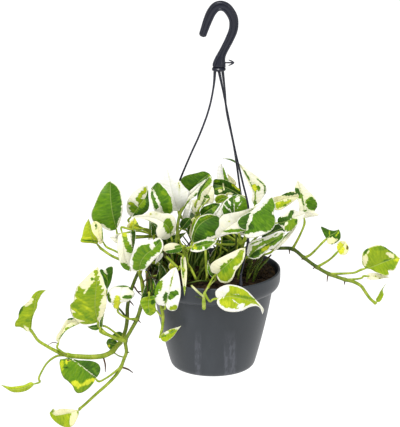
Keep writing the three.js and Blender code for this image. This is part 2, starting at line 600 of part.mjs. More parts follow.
  leaf_vine_right_big: {
    look: 'green', stem: 'vine_right', node: 7, lift: [0.2, 0.1],
    via: [[344, 273.5, -8], [355, 272.5, -9]],
    rib: [[365.5, 268.5, -12], [374, 266, -11], [383, 262.3, -12], [391, 259.5, -15], [400, 258.2, -18]],
    left: [[362.2, 264], [361.9, 257], [362.8, 252.6], [366, 249.3], [371, 246.8], [377.5, 245],
      [383.5, 246.1], [389, 249.8], [394.5, 253.6]],
    right: [[370.5, 269.4], [376, 272.4], [381.5, 274.5], [386, 276], [389.4, 274.5], [388, 270.9],
      [393.5, 270.6], [396.6, 266.5], [398.4, 262]],
  },
  leaf_vine_right_end: {
    look: 'lime', stem: 'vine_right', node: 14, lift: [0.6, 0.6],
    rib: [[376.4, 302, -4], [379.5, 297.5, -4], [381.7, 291, -5], [386.6, 282.5, -6]],
    left: [[375.8, 299], [378, 295.5], [380.3, 291]],
    right: [[379.7, 302], [382.6, 298], [383.8, 294.5], [382.9, 290]],
  },
  leaf_vine_left_big: {
    look: 'lime', stem: 'vine_left_low', node: 9, lift: [0, 0.45],
    via: [[115, 338, 40], [104, 332, 42]],
    rib: [[98, 322, 42], [95.7, 312, 47], [95, 302, 50], [96, 290, 52], [97, 278, 52], [97.7, 266.8, 50]],
    left: [[94, 323.7], [88, 324.5], [82, 324.3], [76.5, 321.2], [72.5, 316.5], [70.2, 310], [69.9, 305],
      [73.2, 301.5], [74, 296], [75.3, 291.5], [76.8, 287], [82, 281.3], [88, 275.3], [93, 270.8]],
    right: [[101, 318.7], [104.2, 313], [106.4, 305], [106.5, 296], [105.5, 288], [103.6, 281], [101, 274.3],
      [98.9, 269.3]],
  },
  leaf_vine_left_striped: {
    look: 'green', stem: 'vine_left_out', node: 5,
    via: [[117, 293, 28]],
    rib: [[107, 290, 28], [107.3, 282, 27], [107, 275, 24], [106, 268.8, 20]],
    left: [[104.6, 284], [102.7, 277.5], [99.7, 270.2], [101.5, 269], [104, 270.5]],
    right: [[110.3, 284], [112.3, 277], [113.2, 271], [112.6, 266.6], [108.5, 266.8]],
  },
  leaf_vine_left_arched: {
    look: 'white', stem: 'vine_left_low', node: 7, lift: [-0.2, -0.2],
    via: [[128, 318.5, 42]],
    rib: [[118.5, 308, 46], [120, 298, 53], [121.3, 291, 49], [123, 285.2, 36]],
    left: [[115, 309.5], [112, 304], [108.3, 301.5], [107.1, 296], [109.5, 290], [114.5, 286.4]],
    right: [[121, 303], [127, 302], [131.7, 298.7], [134.7, 294], [132, 289.2], [128, 286]],
  },
  leaf_vine_left_end: {
    look: 'lime', stem: 'vine_left_out', node: 20, lift: [0.05, 0.4],
    rib: [[31, 331, 29], [31.2, 323, 31], [33, 314, 33], [35, 305, 35], [35.7, 298, 36], [39.3, 292.5, 37],
      [46.5, 289.8, 36]],
    left: [[27, 331.5], [23.5, 328.7], [19.5, 327], [15.1, 326.5], [15.3, 322], [18.2, 318], [18.6, 313.5],
      [21, 307.8], [25.5, 303.8], [30, 299.3], [33, 294.5], [38, 290.6]],
    right: [[31.7, 326], [32.3, 319.5], [34.2, 313.5], [37.2, 307], [37.7, 302.5], [39.6, 298.5],
      [41.7, 294.5]],
  },
  leaf_vine_left_narrow: {
    look: 'white', stem: 'vine_left_out', node: 15, lift: [0.4, 0.7],
    via: [[64, 353.2, 30], [59.8, 350.2, 31]],
    rib: [[58.5, 343, 31], [61.5, 333.5, 33], [66.5, 325.5, 32], [72.5, 322, 30], [80, 323.8, 28]],
    left: [[56.2, 340], [56.8, 335.5], [61, 329.3], [64, 323.3], [68, 318.7], [72.7, 317.8]],
    right: [[60, 340], [62.8, 335], [66.3, 330.7], [71, 327.7], [76, 325.5]],
  },
  leaf_vine_left_curl: {
    look: 'green', stem: 'vine_left_out', node: 11, lift: [0.2, 0.2],
    rib: [[118.3, 343.5, 16], [114, 344.3, 15], [110, 343.5, 12], [106.2, 343, 9]],
    left: [[116.7, 348], [112.5, 350.5], [108.5, 348]],
    right: [[116, 340.5], [112.5, 338.8], [109, 338.6], [107, 340.5]],
  },
  leaf_vine_left_patch: {
    look: 'green', stem: 'vine_left_low', node: 12, lift: [0.15, 0.2],
    via: [[113.5, 373, 34], [106, 378.2, 34]],
    rib: [[95.3, 378.3, 37], [89.5, 373, 40], [83, 366.8, 41], [77, 362, 41], [69, 359.7, 40],
      [60.3, 359.1, 39]],
    left: [[94.5, 381.5], [91.5, 385.5], [87.5, 389.5], [82, 392.7], [77.5, 393.2], [74.6, 390.5],
      [72.8, 386.5], [68.3, 381.7], [63.8, 378], [61.4, 373.5], [60.1, 368], [59.4, 362.5]],
    right: [[98, 376], [100.3, 371], [100.1, 366.5], [97.3, 363], [92, 361], [85, 360.3], [78, 360],
      [70, 358.1]],
  },
  leaf_vine_low_end: {
    look: 'lime', stem: 'vine_left_low', node: 17, lift: [0.2, 0.4],
    rib: [[79, 410, 31.5], [72, 412.3, 32], [63, 414.3, 28], [55.5, 414.8, 21], [51, 411, 12]],
    left: [[78.5, 415], [76, 421], [73, 425.5], [67.5, 427.7], [60.5, 425.5], [54.5, 421.2], [51, 417],
      [49.5, 413]],
    right: [[75, 409.6], [68, 408.8], [60, 408.8], [56, 410.3], [53.5, 408.4]],
  },
  leaf_vine_rolled: {
    look: 'lime', stem: 'vine_left_out', node: 15, lift: [-0.7, -0.7],
    via: [[57, 356, 28], [48, 362, 29], [42, 371, 30], [38.8, 378.8, 30]],
    rib: [[34.8, 383.8, 30], [26, 387.2, 32], [15, 389.3, 32], [8, 389, 30], [0.5, 384.6, 28]],
    left: [[31.5, 387.5], [26, 391], [19, 392.5], [12, 392]],
    right: [[31, 382], [24, 384.8], [17, 386], [11, 386.6]],
  },
  leaf_shoot_small: {
    look: 'lime', stem: 'shoot_hanging', node: 8,
    rib: [[160.6, 337, 57], [166, 334.5, 60], [172, 331.8, 61], [181.3, 325.8, 60]],
    left: [[161.5, 334.3], [165.5, 331.7], [170, 329.3], [175.5, 327.8]],
    right: [[161.5, 340.2], [165, 341.9], [170, 339.4], [174.5, 335.1], [177.5, 330.5]],
  },
  leaf_rear_left: {
    look: 'green', stem: 'crown_back', node: 3, width: 33,
    rib: [[168, 226, -44], [158, 228, -62], [148, 240, -84]],
  },
  leaf_rear_centre: {
    look: 'white', stem: 'crown_back', node: 4, width: 36,
    rib: [[203, 216, -52], [199, 222, -74], [196, 238, -96]],
  },
  leaf_rear_right: {
    look: 'green', stem: 'crown_back', node: 3, width: 33,
    rib: [[243, 222, -58], [256, 223, -71], [268, 236, -84]],
  },
};

const LEAF_DEFAULTS = { lift: [0.25, 0.25], via: [] };

// Half of a plain outline: shares of the length, and of the width beside the midrib
const PLAIN_HALF = [[-0.06, 0.3], [0.04, 0.45], [0.26, 0.5], [0.52, 0.41], [0.78, 0.2]];

function plainMargin(leaf, side) {
  const [baseX, baseY] = leaf.rib[0];
  const [middleX, middleY] = leaf.rib[1];
  const [tipX, tipY] = leaf.rib[leaf.rib.length - 1];
  const [headingX, headingY] = [tipX - baseX, tipY - baseY];
  const reach = (side * leaf.width) / Math.hypot(headingX, headingY);
  const [bowX, bowY] = [middleX - (baseX + tipX) / 2, middleY - (baseY + tipY) / 2];
  return PLAIN_HALF.map(([along, half]) => {
    const share = Math.max(0, along);
    const bow = 4 * share * (1 - share);
    return [
      baseX + headingX * along + bowX * bow + headingY * reach * half,
      baseY + headingY * along + bowY * bow - headingX * reach * half,
    ];
  });
}

// Points at the given shares of the length of a curve through picture points
function spaced(points, shares) {
  const curve = smoothCurve(points.map(([x, y, near = 0]) => new THREE.Vector3(x, y, near)));
  return shares.map((share) => curve.getPointAt(share));
}

// The midrib and the two margins, each as the same number of picture points
function bladeLines(leaf) {
  const left = leaf.left ?? plainMargin(leaf, 1);
  const right = leaf.right ?? plainMargin(leaf, -1);
  const rows = Math.max(LEAST_BLADE_ROWS, left.length, right.length);
  const shares = Array.from({ length: rows + 1 }, (_, row) => row / rows);
  const ends = [leaf.rib[0].slice(0, 2), leaf.rib[leaf.rib.length - 1].slice(0, 2)];
  return {
    rows,
    rib: spaced(leaf.rib, shares.map((share) => share ** ROW_BUNCHING)),
    left: spaced([ends[0], ...left, ends[1]], shares),
    right: spaced([ends[0], ...right, ends[1]], shares),
  };
}

// A point of the blade's middle surface: c runs from -1 at the right margin to 1 at the left margin
function bladePoint(leaf, lines, row, c) {
  const rib = lines.rib[row];
  const edge = c > 0 ? lines.left[row] : lines.right[row];
  const reach = Math.abs(c);
  const halfWidth = Math.hypot(edge.x - rib.x, edge.y - rib.y) * PICTURE_POINT;
  const lift = c > 0 ? leaf.lift[0] : leaf.lift[1];
  const bulge = BLADE_BULGE * halfWidth * reach * (1 - reach);
  const raised = lift * (Math.hypot(halfWidth * reach, 1) - 1) + bulge;
  return at([rib.x + (edge.x - rib.x) * reach, rib.y + (edge.y - rib.y) * reach, rib.z + raised]);
}

function blade(leaf) {
  const lines = bladeLines(leaf);
  const points = [bladePoint(leaf, lines, 0, 0), bladePoint(leaf, lines, lines.rows, 0)];
  const facing = EYE.clone().sub(points[0]).normalize();
  const grids = { upper: [], lower: [] };
  for (let i = 1; i < lines.rows; i++) {
    const rows = { upper: [], lower: [] };
    for (let j = 0; j <= BLADE_COLUMNS; j++) {
      const c = (2 * j) / BLADE_COLUMNS - 1;
      const middle = bladePoint(leaf, lines, i, c);
      const half = (BLADE_THICKNESS / 2) * (1 - c * c);
      const onMargin = Math.abs(c) === 1;
      rows.upper.push(points.length);
      points.push(middle.clone().addScaledVector(facing, half));
      rows.lower.push(onMargin ? points.length - 1 : points.length);
      if (!onMargin) points.push(middle.clone().addScaledVector(facing, -half));
    }
    grids.upper.push(rows.upper);
    grids.lower.push(rows.lower);
  }
  const faces = [];
  const face = (surface, a, b, c) => faces.push(surface === 'upper' ? [a, b, c] : [a, c, b]);
  for (const surface of ['upper', 'lower']) {
    const grid = grids[surface];
    for (let j = 0; j < BLADE_COLUMNS; j++) {
      face(surface, 0, grid[0][j], grid[0][j + 1]);
      for (let i = 0; i + 1 < grid.length; i++) {
        face(surface, grid[i][j], grid[i + 1][j], grid[i + 1][j + 1]);
        face(surface, grid[i][j], grid[i + 1][j + 1], grid[i][j + 1]);
      }
      const last = grid[grid.length - 1];
      face(surface, last[j], 1, last[j + 1]);
    }
  }
  return indexedGeometry(points, faces);
}

// A leaf stalk runs from its stem to just short of the blade, in line with the blade's midrib
function stalk(leaf) {
  const base = at(leaf.rib[0]);
  const heading = at(leaf.rib[1]).sub(base).normalize();
  const end = base.clone().addScaledVector(heading, -STALK_GAP);
  const start = at(STEMS[leaf.stem].route[leaf.node]);
  const neck = end.clone().addScaledVector(heading, -Math.min(6, start.distanceTo(end) / 3));
  const route = [start, ...leaf.via.map(at), neck, end];
  return bar(smoothCurve(route), taper(STALK_RADIUS, STALK_END_RADIUS), STALK_SIDES, STALK_STEPS);
}

function peg(stem, [radius, node, ...points]) {
  const route = smoothCurve([stem.route[node], ...points].map(at));
  return bar(route, taper(radius, radius * PEG_TAPER), PEG_SIDES, 3 * points.length - 2);
}

function stem(name) {
  const { radius, route, pegs } = STEMS[name];
  const curve = smoothCurve(route.map(at));
  const steps = Math.round(route.length * STEM_STEPS_PER_POINT);
  const stalks = Object.values(LEAVES).filter((leaf) => leaf.stem === name).map(stalk);
  const roots = pegs.map((entry) => peg(STEMS[name], entry));
  const main = bar(curve, taper(...radius), STEM_SIDES, steps);
  return named(name, join([main, ...stalks, ...roots]), MATERIALS.stem);
}

function leaf(name) {
  return named(name, blade(LEAVES[name]), MATERIALS[LEAVES[name].look]);
}

for (const name of Object.keys(LEAVES)) {
  LEAVES[name] = { ...LEAF_DEFAULTS, ...LEAVES[name] };
}

const part = new THREE.Group();
const inPotFrame = new THREE.Group();
inPotFrame.position.set(-SEAT[0], -SEAT[1], -SEAT[2]);
inPotFrame.add(pot(), soil(), hook());
for (const [name, degrees] of Object.entries(CLIPS)) {
  inPotFrame.add(strand(name, degrees));
}
for (const name of Object.keys(STEMS)) {
  inPotFrame.add(stem(name));
}
for (const name of Object.keys(LEAVES)) {
  inPotFrame.add(leaf(name));
}
part.add(inPotFrame);

export default part;
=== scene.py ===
# A variegated pothos in a plastic hanging pot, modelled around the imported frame.
import math
import random

import bpy
import numpy as np
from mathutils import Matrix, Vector, noise


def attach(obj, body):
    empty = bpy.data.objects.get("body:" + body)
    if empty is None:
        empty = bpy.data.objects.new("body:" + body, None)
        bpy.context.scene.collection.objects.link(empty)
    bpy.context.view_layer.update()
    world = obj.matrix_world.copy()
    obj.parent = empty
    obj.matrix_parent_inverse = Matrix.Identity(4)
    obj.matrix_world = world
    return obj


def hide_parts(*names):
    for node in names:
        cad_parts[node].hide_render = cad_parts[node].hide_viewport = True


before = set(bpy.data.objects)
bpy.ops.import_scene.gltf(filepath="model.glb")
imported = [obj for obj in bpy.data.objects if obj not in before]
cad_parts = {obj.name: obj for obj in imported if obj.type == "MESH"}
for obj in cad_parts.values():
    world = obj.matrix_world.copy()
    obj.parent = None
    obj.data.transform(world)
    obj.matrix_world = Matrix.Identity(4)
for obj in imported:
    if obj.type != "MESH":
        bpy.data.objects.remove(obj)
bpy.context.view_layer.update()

# Shapes are worked out in millimetres in the pot's frame: origin at the centre of the pot's underside,
# X to the right, Y away, Z up. The object's own origin is the seat inside the hook.
MM = 0.001
SEAT = np.array([6.0, 0.0, 405.0])

# Pot. Above its foot the body widens to the collar along a line that swells a little. Each glint streak
# is a painted reflection, a paler upright band low on the front, and has an x and a half width. The
# glints fade in over a stretch of y and one of z, in metres from the seat.
POT_HEIGHT = 113.0
COLLAR_HEIGHT = 22.0
COLLAR_FOOT = POT_HEIGHT - COLLAR_HEIGHT
RIM_RADIUS = 75.0
RIM_INNER_RADIUS = 72.2
BODY_TOP_RADIUS = 66.6
BODY_FOOT_RADIUS = 45.8
BODY_SWELL = 0.28
WALL = 1.8
POT_SEGMENTS = 160
POT_GLINT_STREAKS = ((-22.5, 4.5), (12.7, 8.5))
GLINT_FRONT = (-0.02, -0.03)
GLINT_DROP = (-0.34, -0.375)

# Soil. Each of its three sizes of lumps has a height, a closeness and a seed. A crumb's rings have a level
# and a reach, in shares of its size.
SOIL_RADIUS = 69.0
SOIL_EDGE_LEVEL = 108.5
SOIL_HEAP = 3.5
SOIL_LUMPS = ((1.7, 0.06, 1.0), (1.3, 0.17, 5.0), (0.8, 0.45, 9.0))
SOIL_RINGS = 60
SOIL_SEGMENTS = 150
CRUMB_COUNT = 420
CRUMB_SEED = 11
CRUMB_REACH = 0.96 * SOIL_RADIUS
CRUMB_SIZE = (0.5, 1.9)
CRUMB_SIDES = 6
CRUMB_RINGS = ((-0.5, 0.85), (0.1, 1.0), (0.6, 0.75))

# Hook. CROOK runs from its tip to its foot, as x, level and radius. The foot's outline is in radius and
# height over its underside. The barb's arms are in x and distance from the barb's level.
CROOK = [(-11.4, 378, 4.1), (-9.4, 384, 4.3), (-5.7, 394.6, 4.8), (-1.6, 403.4, 5.0), (3.2, 408.7, 5.05),
         (8.2, 410, 5.05), (13.6, 408.2, 5.05), (18.4, 402.8, 5.1), (21.7, 396, 5.1), (22.3, 389.5, 5.0),
         (21.5, 383, 4.8), (17.3, 372.3, 4.5), (11.8, 361.2, 4.3), (9.2, 355.6, 4.6), (7.4, 350, 5.8),
         (6.5, 344.5, 7.1), (6.1, 340, 7.5)]
WEB_SQUASH = 0.66
RIB_RADIUS = 1.5
RIB_STAND_OUT = 0.5
FOOT_BOTTOM = 338.3
FOOT_CENTRE = 6.1
FOOT_OUTLINE = [(0, 0), (6.8, 0), (7.5, 0.4), (7.7, 1.2), (7.6, 2.2), (6.9, 3.0), (6.4, 4.0), (0, 4.0)]
BAR_END = FOOT_BOTTOM + 5
BARB_LEVEL = 346.9
BARB_SHAFT = (9.0, 14.0, 22.2)
BARB_ARM = ((22.2, 0), (19.8, 1.9), (16.8, 3.1))

# Strands. Each runs from the hook's foot to its clip at the rim. A clip is placed by degrees about the pot,
# counted from its front, and its form is in shares of its length and of its width.
STRAND_RADIUS = 1.15
STRAND_HEAD_RADIUS = 1.7
STRAND_TAPER = 6
STRANDS = {
    "left": [(1.9, 0, 337.9), (1, 0.4, 324), (-2.1, 1, 305), (-5.6, 1.5, 291), (-10.1, 2, 277.5),
             (-16.3, 2.7, 261.5), (-23.3, 3.5, 245.5), (-36.3, 4.8, 213.5), (-47.5, 5.3, 183),
             (-59, 5.6, 152), (-67.5, 6, 128)],
    "front": [(6.4, -4.2, 337.9), (11, -7, 316), (15, -10.5, 296.5), (23.7, -24, 255.3), (32, -35, 222),
              (38.4, -42.5, 194.4), (38, -53, 164), (33.6, -59, 141.5), (30.4, -62.6, 127)],
    "back": [(10.2, 3, 337.9), (12.8, 6.5, 314), (14.6, 10.4, 291.3), (23.2, 22.6, 246),
             (31.7, 40.5, 183.7), (38, 51.5, 145), (40.4, 56, 127)],
}
CLIPS = {"left": -95, "front": 25, "back": 145}
CLIP_THICKNESS = 1.8
CLIP_WIDTH = 5.0
CLIP_RISE = 12.0
CLIP_DROP = 11.0
CLIP_GAP = 0.3
CLIP_FORM = ((0, 0.45), (0.2, 0.6), (0.45, 0.95), (1, 1))
CLIP_STEPS = 14
PRONG_LEVEL = 104.0
PRONG_RADIUS = 1.4
PRONG_INSET = 0.4

# Leaf blades
BLADE_THICKNESS = 0.5
BLADE_ROWS = 54
BLADE_COLUMNS = 34
BASE_CROWDING = 1.15
VEIN_SPACING = 3.4
VEIN_SLANT = 0.18
VEIN_RELIEF = 0.22
RIDGE_DEPTH = 0.45
RIDGE_WIDTH = 0.9
WAVE_RATE = 0.34
SEED_STEP = 0.37

# Stems, and the thickets of short stalks under the crowns. A leaf stalk's foot is older the longer it is.
# A thicket's ranges are a lowest and a highest value.
NODE_SWELL = 0.25
NODE_LENGTH = 2.2
NECK_LENGTH = 6.0
STALK_RADII = (1.65, 1.35, 1.3, 1.2, 1.1, 1.15, 1.3, 0.8)
STALK_LENGTHS = (0, 80)
STALK_FOOT_AGES = (0.1, 0.5)
STALK_UPPER_AGES = (0.3, 0.05)
TWIG_TAPER = (1, 0.95, 0.85)
ROOT_TAPER = (1, 0.95, 0.45)
TWIG_SEED = 30
THICKET_COUNT = 16
THICKET_FOOT_REACH = (0, 22)
THICKET_HEAD_REACH = (4, 20)
THICKET_RISE = (22, 44)
THICKET_RADIUS = (0.7, 1.5)
THICKET_AGES = [0.7, 1.1, 1.3, 1.5, 1.6, 1.7]

# Rounded ends of bars, as shares of the end's radius
DOME_REACH = 0.5
DOME_WIDTH = 0.62
DOME_TIP = 0.12

# The reference view. Plant pieces are placed by a picture point and by how far in front of the pot's axis
# they stand: (picture x, picture y, near).
VIEW_DISTANCE = 3000.0
VIEW_FOCAL = 2720.0
VIEW_PITCH = math.radians(16.8)
VIEW_CENTRE = (200.0, 213.5)
VIEW_TARGET = np.array([-14.3, 0.0, 176.0])
PICTURE_LONG_SIDE = 427
PICTURE_POINT = VIEW_DISTANCE / VIEW_FOCAL
SENSOR = 36.0
EYE = VIEW_TARGET + VIEW_DISTANCE * np.array([0.0, -math.cos(VIEW_PITCH), math.sin(VIEW_PITCH)])

# Stage, in metres
FLOOR_HALF = 25.0
FLOOR_LEVEL = -1.05
LIGHT_DISTANCE = 2.2
DAYLIGHT = 0.38


def at(point):
    """The place of one picture point, or of an array of them."""
    x, y, near = np.moveaxis(np.asarray(point, float), -1, 0)
    up = VIEW_CENTRE[1] - y
    ray = np.stack([
        x - VIEW_CENTRE[0],
        VIEW_FOCAL * math.cos(VIEW_PITCH) + up * math.sin(VIEW_PITCH),
        -VIEW_FOCAL * math.sin(VIEW_PITCH) + up * math.cos(VIEW_PITCH),
    ], axis=-1)
    return EYE + ray * ((-near - EYE[1]) / ray[..., 1])[..., None]


def unit(vector):
    return vector / (np.linalg.norm(vector) + 1e-12)


def make_camera():
    data = bpy.data.cameras.new("camera")
    data.sensor_width = SENSOR
    data.lens = VIEW_FOCAL * SENSOR / PICTURE_LONG_SIDE
    data.clip_end = 60
    camera = bpy.data.objects.new("camera", data)
    camera.location = (EYE - SEAT) * MM
    camera.rotation_euler = (math.pi / 2 - VIEW_PITCH, 0, 0)
    bpy.context.collection.objects.link(camera)
    bpy.context.scene.camera = camera


# Shader nodes

def plug(tree, socket, value):
    """Links a socket to a node's output, or gives it a constant."""
    if isinstance(value, bpy.types.NodeSocket):
        tree.links.new(value, socket)
    else:
        socket.default_value = value


def node(tree, kind, settings=None, **sockets):
    """A node with settings and inputs. An input goes by its name, or by its number as i0, i1 and so on."""
    made = tree.nodes.new(kind)
    for key, value in (settings or {}).items():
        setattr(made, key, value)
    for key, value in sockets.items():
        numbered = key.startswith("i") and key[1:].isdigit()
        plug(tree, made.inputs[int(key[1:]) if numbered else key.replace("_", " ")], value)
    return made


def maths(tree, operation, a, b=0.0, clamp=False):
    return node(tree, "ShaderNodeMath", {"operation": operation, "use_clamp": clamp}, i0=a, i1=b).outputs[0]


def plus(tree, a, b, clamp=False):
    return maths(tree, "ADD", a, b, clamp)


def times(tree, a, b):
    return maths(tree, "MULTIPLY", a, b)


def swing(tree, value, size):
    """A noise value moved to lie about zero, times a size."""
    return times(tree, maths(tree, "SUBTRACT", value, 0.5), size)


def mix(tree, factor, a, b):
    return node(tree, "ShaderNodeMix", {"data_type": "RGBA"}, i0=factor, i6=a, i7=b).outputs[2]


def between(tree, value, low, high):
    """0 at low and 1 at high, with a smooth step from one to the other."""
    made = node(tree, "ShaderNodeMapRange", {"interpolation_type": "SMOOTHSTEP"},
                i0=value, i1=low, i2=high, i3=0.0, i4=1.0)
    return made.outputs[0]


def ramp(tree, value, stops):
    made = node(tree, "ShaderNodeValToRGB", i0=value)
    elements = made.color_ramp.elements
    while len(elements) < len(stops):
        elements.new(1.0)
    for element, (place, colour) in zip(elements, stops):
        element.position = place
        element.color = colour
    return made.outputs[0]


def noise_of(tree, vector, stretch=None, scale=1.0, detail=2.0, rough=0.5):
    """Noise of a place, or of the place times a stretch for each direction."""
    if stretch:
        stretched = node(tree, "ShaderNodeVectorMath", {"operation": "MULTIPLY"}, i0=vector, i1=stretch)
        vector = stretched.outputs[0]
    made = node(tree, "ShaderNodeTexNoise", Scale=scale, Detail=detail, Roughness=rough, Vector=vector)
    return made.outputs[0]


def attribute(tree, name):
    """A vector attribute and its three parts."""
    vector = node(tree, "ShaderNodeAttribute", {"attribute_name": name}).outputs["Vector"]
    return [vector, *node(tree, "ShaderNodeSeparateXYZ", i0=vector).outputs]


def object_place(tree):
    return node(tree, "ShaderNodeTexCoord").outputs["Object"]


def bumped(tree, height, strength, distance):
    return node(tree, "ShaderNodeBump", Height=height, Strength=strength, Distance=distance).outputs[0]


def new_material(name):
    material = bpy.data.materials.new(name)
    material.use_nodes = True
    tree = material.node_tree
    return material, tree, tree.nodes["Principled BSDF"]


def connect(tree, shader, **sockets):
    for key, value in sockets.items():
        plug(tree, shader.inputs[key.replace("_", " ")], value)


def rgb(red, green, blue):
    return (red, green, blue, 1.0)


# Leaf material. The blade attribute holds millimetres along the midrib, millimetres across and a seed. The
# paint attribute holds how deep inside the green a place lies, in millimetres, its tone and the warmth of
# its white. The under attribute is 1 on the underside.

LEAF_GREENS = [
    (0.0, rgb(0.014, 0.048, 0.003)),
    (0.15, rgb(0.042, 0.125, 0.005)),
    (0.3, rgb(0.097, 0.222, 0.006)),
    (0.48, rgb(0.205, 0.31, 0.007)),
    (0.7, rgb(0.38, 0.46, 0.01)),
    (0.9, rgb(0.6, 0.62, 0.03)),
]
BROWN_SPOT = rgb(0.1, 0.06, 0.02)
CLEAN_WHITE = rgb(0.81, 0.8, 0.74)
WARM_CREAM = rgb(0.76, 0.72, 0.38)
GREEN_TINGE = rgb(0.48, 0.55, 0.2)
GREY_FLECK = rgb(0.55, 0.6, 0.45)
MIDRIB_COLOUR = rgb(0.36, 0.45, 0.12)
VEIN_COLOUR = rgb(0.42, 0.5, 0.1)
# Painted shade for the hollows between the lateral veins.
HOLLOW_SHADE_COLOUR = rgb(0.03, 0.07, 0.006)
UNDERSIDE_COLOUR = rgb(0.3, 0.38, 0.09)


def leaf_green(tree, vector, tone):
    cloud = noise_of(tree, vector, (0.3, 0.1, 5.0), detail=3.0, rough=0.6)
    streak = noise_of(tree, vector, (0.8, 0.14, 11.0))
    moved = plus(tree, times(tree, tone, 0.9), swing(tree, cloud, 0.36))
    moved = plus(tree, moved, swing(tree, streak, 0.3))
    moved = maths(tree, "MINIMUM", maths(tree, "MAXIMUM", moved, 0.02), 0.9)
    return mix(tree, between(tree, tone, 1.3, 1.8), ramp(tree, moved, LEAF_GREENS), BROWN_SPOT)


def leaf_white(tree, vector, field, cream):
    blush = noise_of(tree, vector, (0.08, 0.06, 3.0))
    warmth = plus(tree, cream, swing(tree, blush, 0.7), clamp=True)
    pale = mix(tree, warmth, CLEAN_WHITE, WARM_CREAM)
    pale = mix(tree, times(tree, between(tree, field, -1.6, -0.2), 0.3), pale, GREEN_TINGE)
    grey = noise_of(tree, vector, (0.4, 0.1, 17.0), detail=3.0, rough=0.6)
    pale = mix(tree, times(tree, between(tree, grey, 0.52, 0.68), 0.3), pale, GREY_FLECK)
    grain = noise_of(tree, vector, (1.0, 1.0, 9.0), 0.55, 1.0, 0.4)
    return mix(tree, between(tree, grain, 0.785, 0.8), pale, BROWN_SPOT)


def leaf_material():
    material, tree, shader = new_material("leaf_blade")
    vector, along, across, _ = attribute(tree, "blade")
    _, green, tone, cream = attribute(tree, "paint")
    under = node(tree, "ShaderNodeAttribute", {"attribute_name": "under"}).outputs["Fac"]
    feather = noise_of(tree, vector, (0.9, 0.22, 7.0), detail=3.0, rough=0.6)
    field = plus(tree, green, swing(tree, feather, 1.4))
    is_green = between(tree, field, -0.12, 0.12)
    colour = mix(tree, is_green, leaf_white(tree, vector, field, cream), leaf_green(tree, vector, tone))

    aside = maths(tree, "ABSOLUTE", across)
    rib = between(tree, aside, 0.7, 0.25)
    rib_show = plus(tree, times(tree, is_green, 0.4), 0.12)
    colour = mix(tree, times(tree, rib, rib_show), colour, MIDRIB_COLOUR)
    slanted = maths(tree, "SUBTRACT", along, times(tree, aside, VEIN_SLANT))
    wave = maths(tree, "SINE", times(tree, slanted, 2 * math.pi / VEIN_SPACING))
    patchy = between(tree, noise_of(tree, vector, (0.2, 0.2, 4.0)), 0.36, 0.64)
    vein = times(tree, between(tree, wave, 0.75, 1.0), patchy)
    # Painted shade: the green between the lateral veins is darkened, as shade of the quilted blade.
    hollow_shade = times(tree, between(tree, wave, -0.2, -1.0), times(tree, is_green, patchy))
    colour = mix(tree, times(tree, hollow_shade, 0.2), colour, HOLLOW_SHADE_COLOUR)
    colour = mix(tree, times(tree, vein, 0.12), colour, VEIN_COLOUR)
    colour = mix(tree, times(tree, under, 0.3), colour, UNDERSIDE_COLOUR)

    fine = noise_of(tree, vector, (1.0, 1.0, 2.0), 2.2)
    height = plus(tree, times(tree, vein, -0.35), times(tree, rib, -0.8))
    height = plus(tree, height, times(tree, fine, 0.25))
    connect(tree, shader, Base_Color=colour, Normal=bumped(tree, height, 0.6, 0.0009),
            Roughness=plus(tree, times(tree, fine, 0.2), 0.3), Specular_IOR_Level=0.15,
            Subsurface_Weight=0.06, Subsurface_Scale=0.002, Subsurface_Radius=(0.9, 1.0, 0.35))
    return material


# Stem material. The grow attribute holds millimetres along a stem, its age and a seed. Age -1 is a cream
# sheath, 0 is fresh and lime, 1 is old and dark green, and 2 is a brown root. Each later look has the ages
# between which it comes in, and its darker and lighter colour.

SHEATH_COLOURS = (rgb(0.3, 0.38, 0.06), rgb(0.62, 0.6, 0.36))
LATER_STEM_LOOKS = [
    (-1.0, -0.1, rgb(0.2, 0.3, 0.01), rgb(0.38, 0.45, 0.05)),
    (0.0, 1.0, rgb(0.02, 0.045, 0.005), rgb(0.08, 0.12, 0.01)),
    (1.4, 1.9, rgb(0.02, 0.009, 0.003), rgb(0.1, 0.045, 0.015)),
]


def stem_material():
    material, tree, shader = new_material("stem")
    vector, _, age, _ = attribute(tree, "grow")
    patches = between(tree, noise_of(tree, vector, (0.12, 0.0, 3.0), detail=3.0, rough=0.6), 0.35, 0.65)
    colour = mix(tree, patches, *SHEATH_COLOURS)
    for start, end, dark, light in LATER_STEM_LOOKS:
        colour = mix(tree, between(tree, age, start, end), colour, mix(tree, patches, dark, light))
    fine = noise_of(tree, object_place(tree), None, 900.0, 3.0, 0.6)
    height = plus(tree, fine, noise_of(tree, vector, (0.5, 0.0, 3.0)))
    connect(tree, shader, Base_Color=colour, Normal=bumped(tree, height, 0.35, 0.0005),
            Roughness=plus(tree, times(tree, fine, 0.3), 0.32), Specular_IOR_Level=0.22,
            Subsurface_Weight=0.05, Subsurface_Scale=0.002)
    return material


# Plastic and soil materials

POT_DARK = rgb(0.024, 0.029, 0.035)
POT_LIGHT = rgb(0.034, 0.04, 0.048)
HANGER_DARK = rgb(0.005, 0.006, 0.013)
HANGER_LIGHT = rgb(0.011, 0.013, 0.025)
SCUFF_COLOUR = rgb(0.09, 0.095, 0.1)
# Paler colour of the painted glints: reflections painted into the pot's plastic.
PAINTED_GLINT_COLOUR = rgb(0.09, 0.095, 0.115)


def painted_glint_show(tree, place, glint_streaks):
    """How much the painted glints, paler bands that stand for reflections, show low on the front."""
    x, y, z = node(tree, "ShaderNodeSeparateXYZ", i0=place).outputs
    show = 0.0
    for middle, half in glint_streaks:
        aside = maths(tree, "ABSOLUTE", maths(tree, "SUBTRACT", x, middle * MM))
        show = plus(tree, between(tree, aside, half * MM, half * MM * 0.5), show)
    show = times(tree, show, between(tree, y, *GLINT_FRONT))
    show = times(tree, show, between(tree, z, *GLINT_DROP))
    threads = noise_of(tree, place, (1.0, 1.0, 0.12), 330.0, 3.0, 0.6)
    return times(tree, show, plus(tree, between(tree, threads, 0.42, 0.6), 0.25))


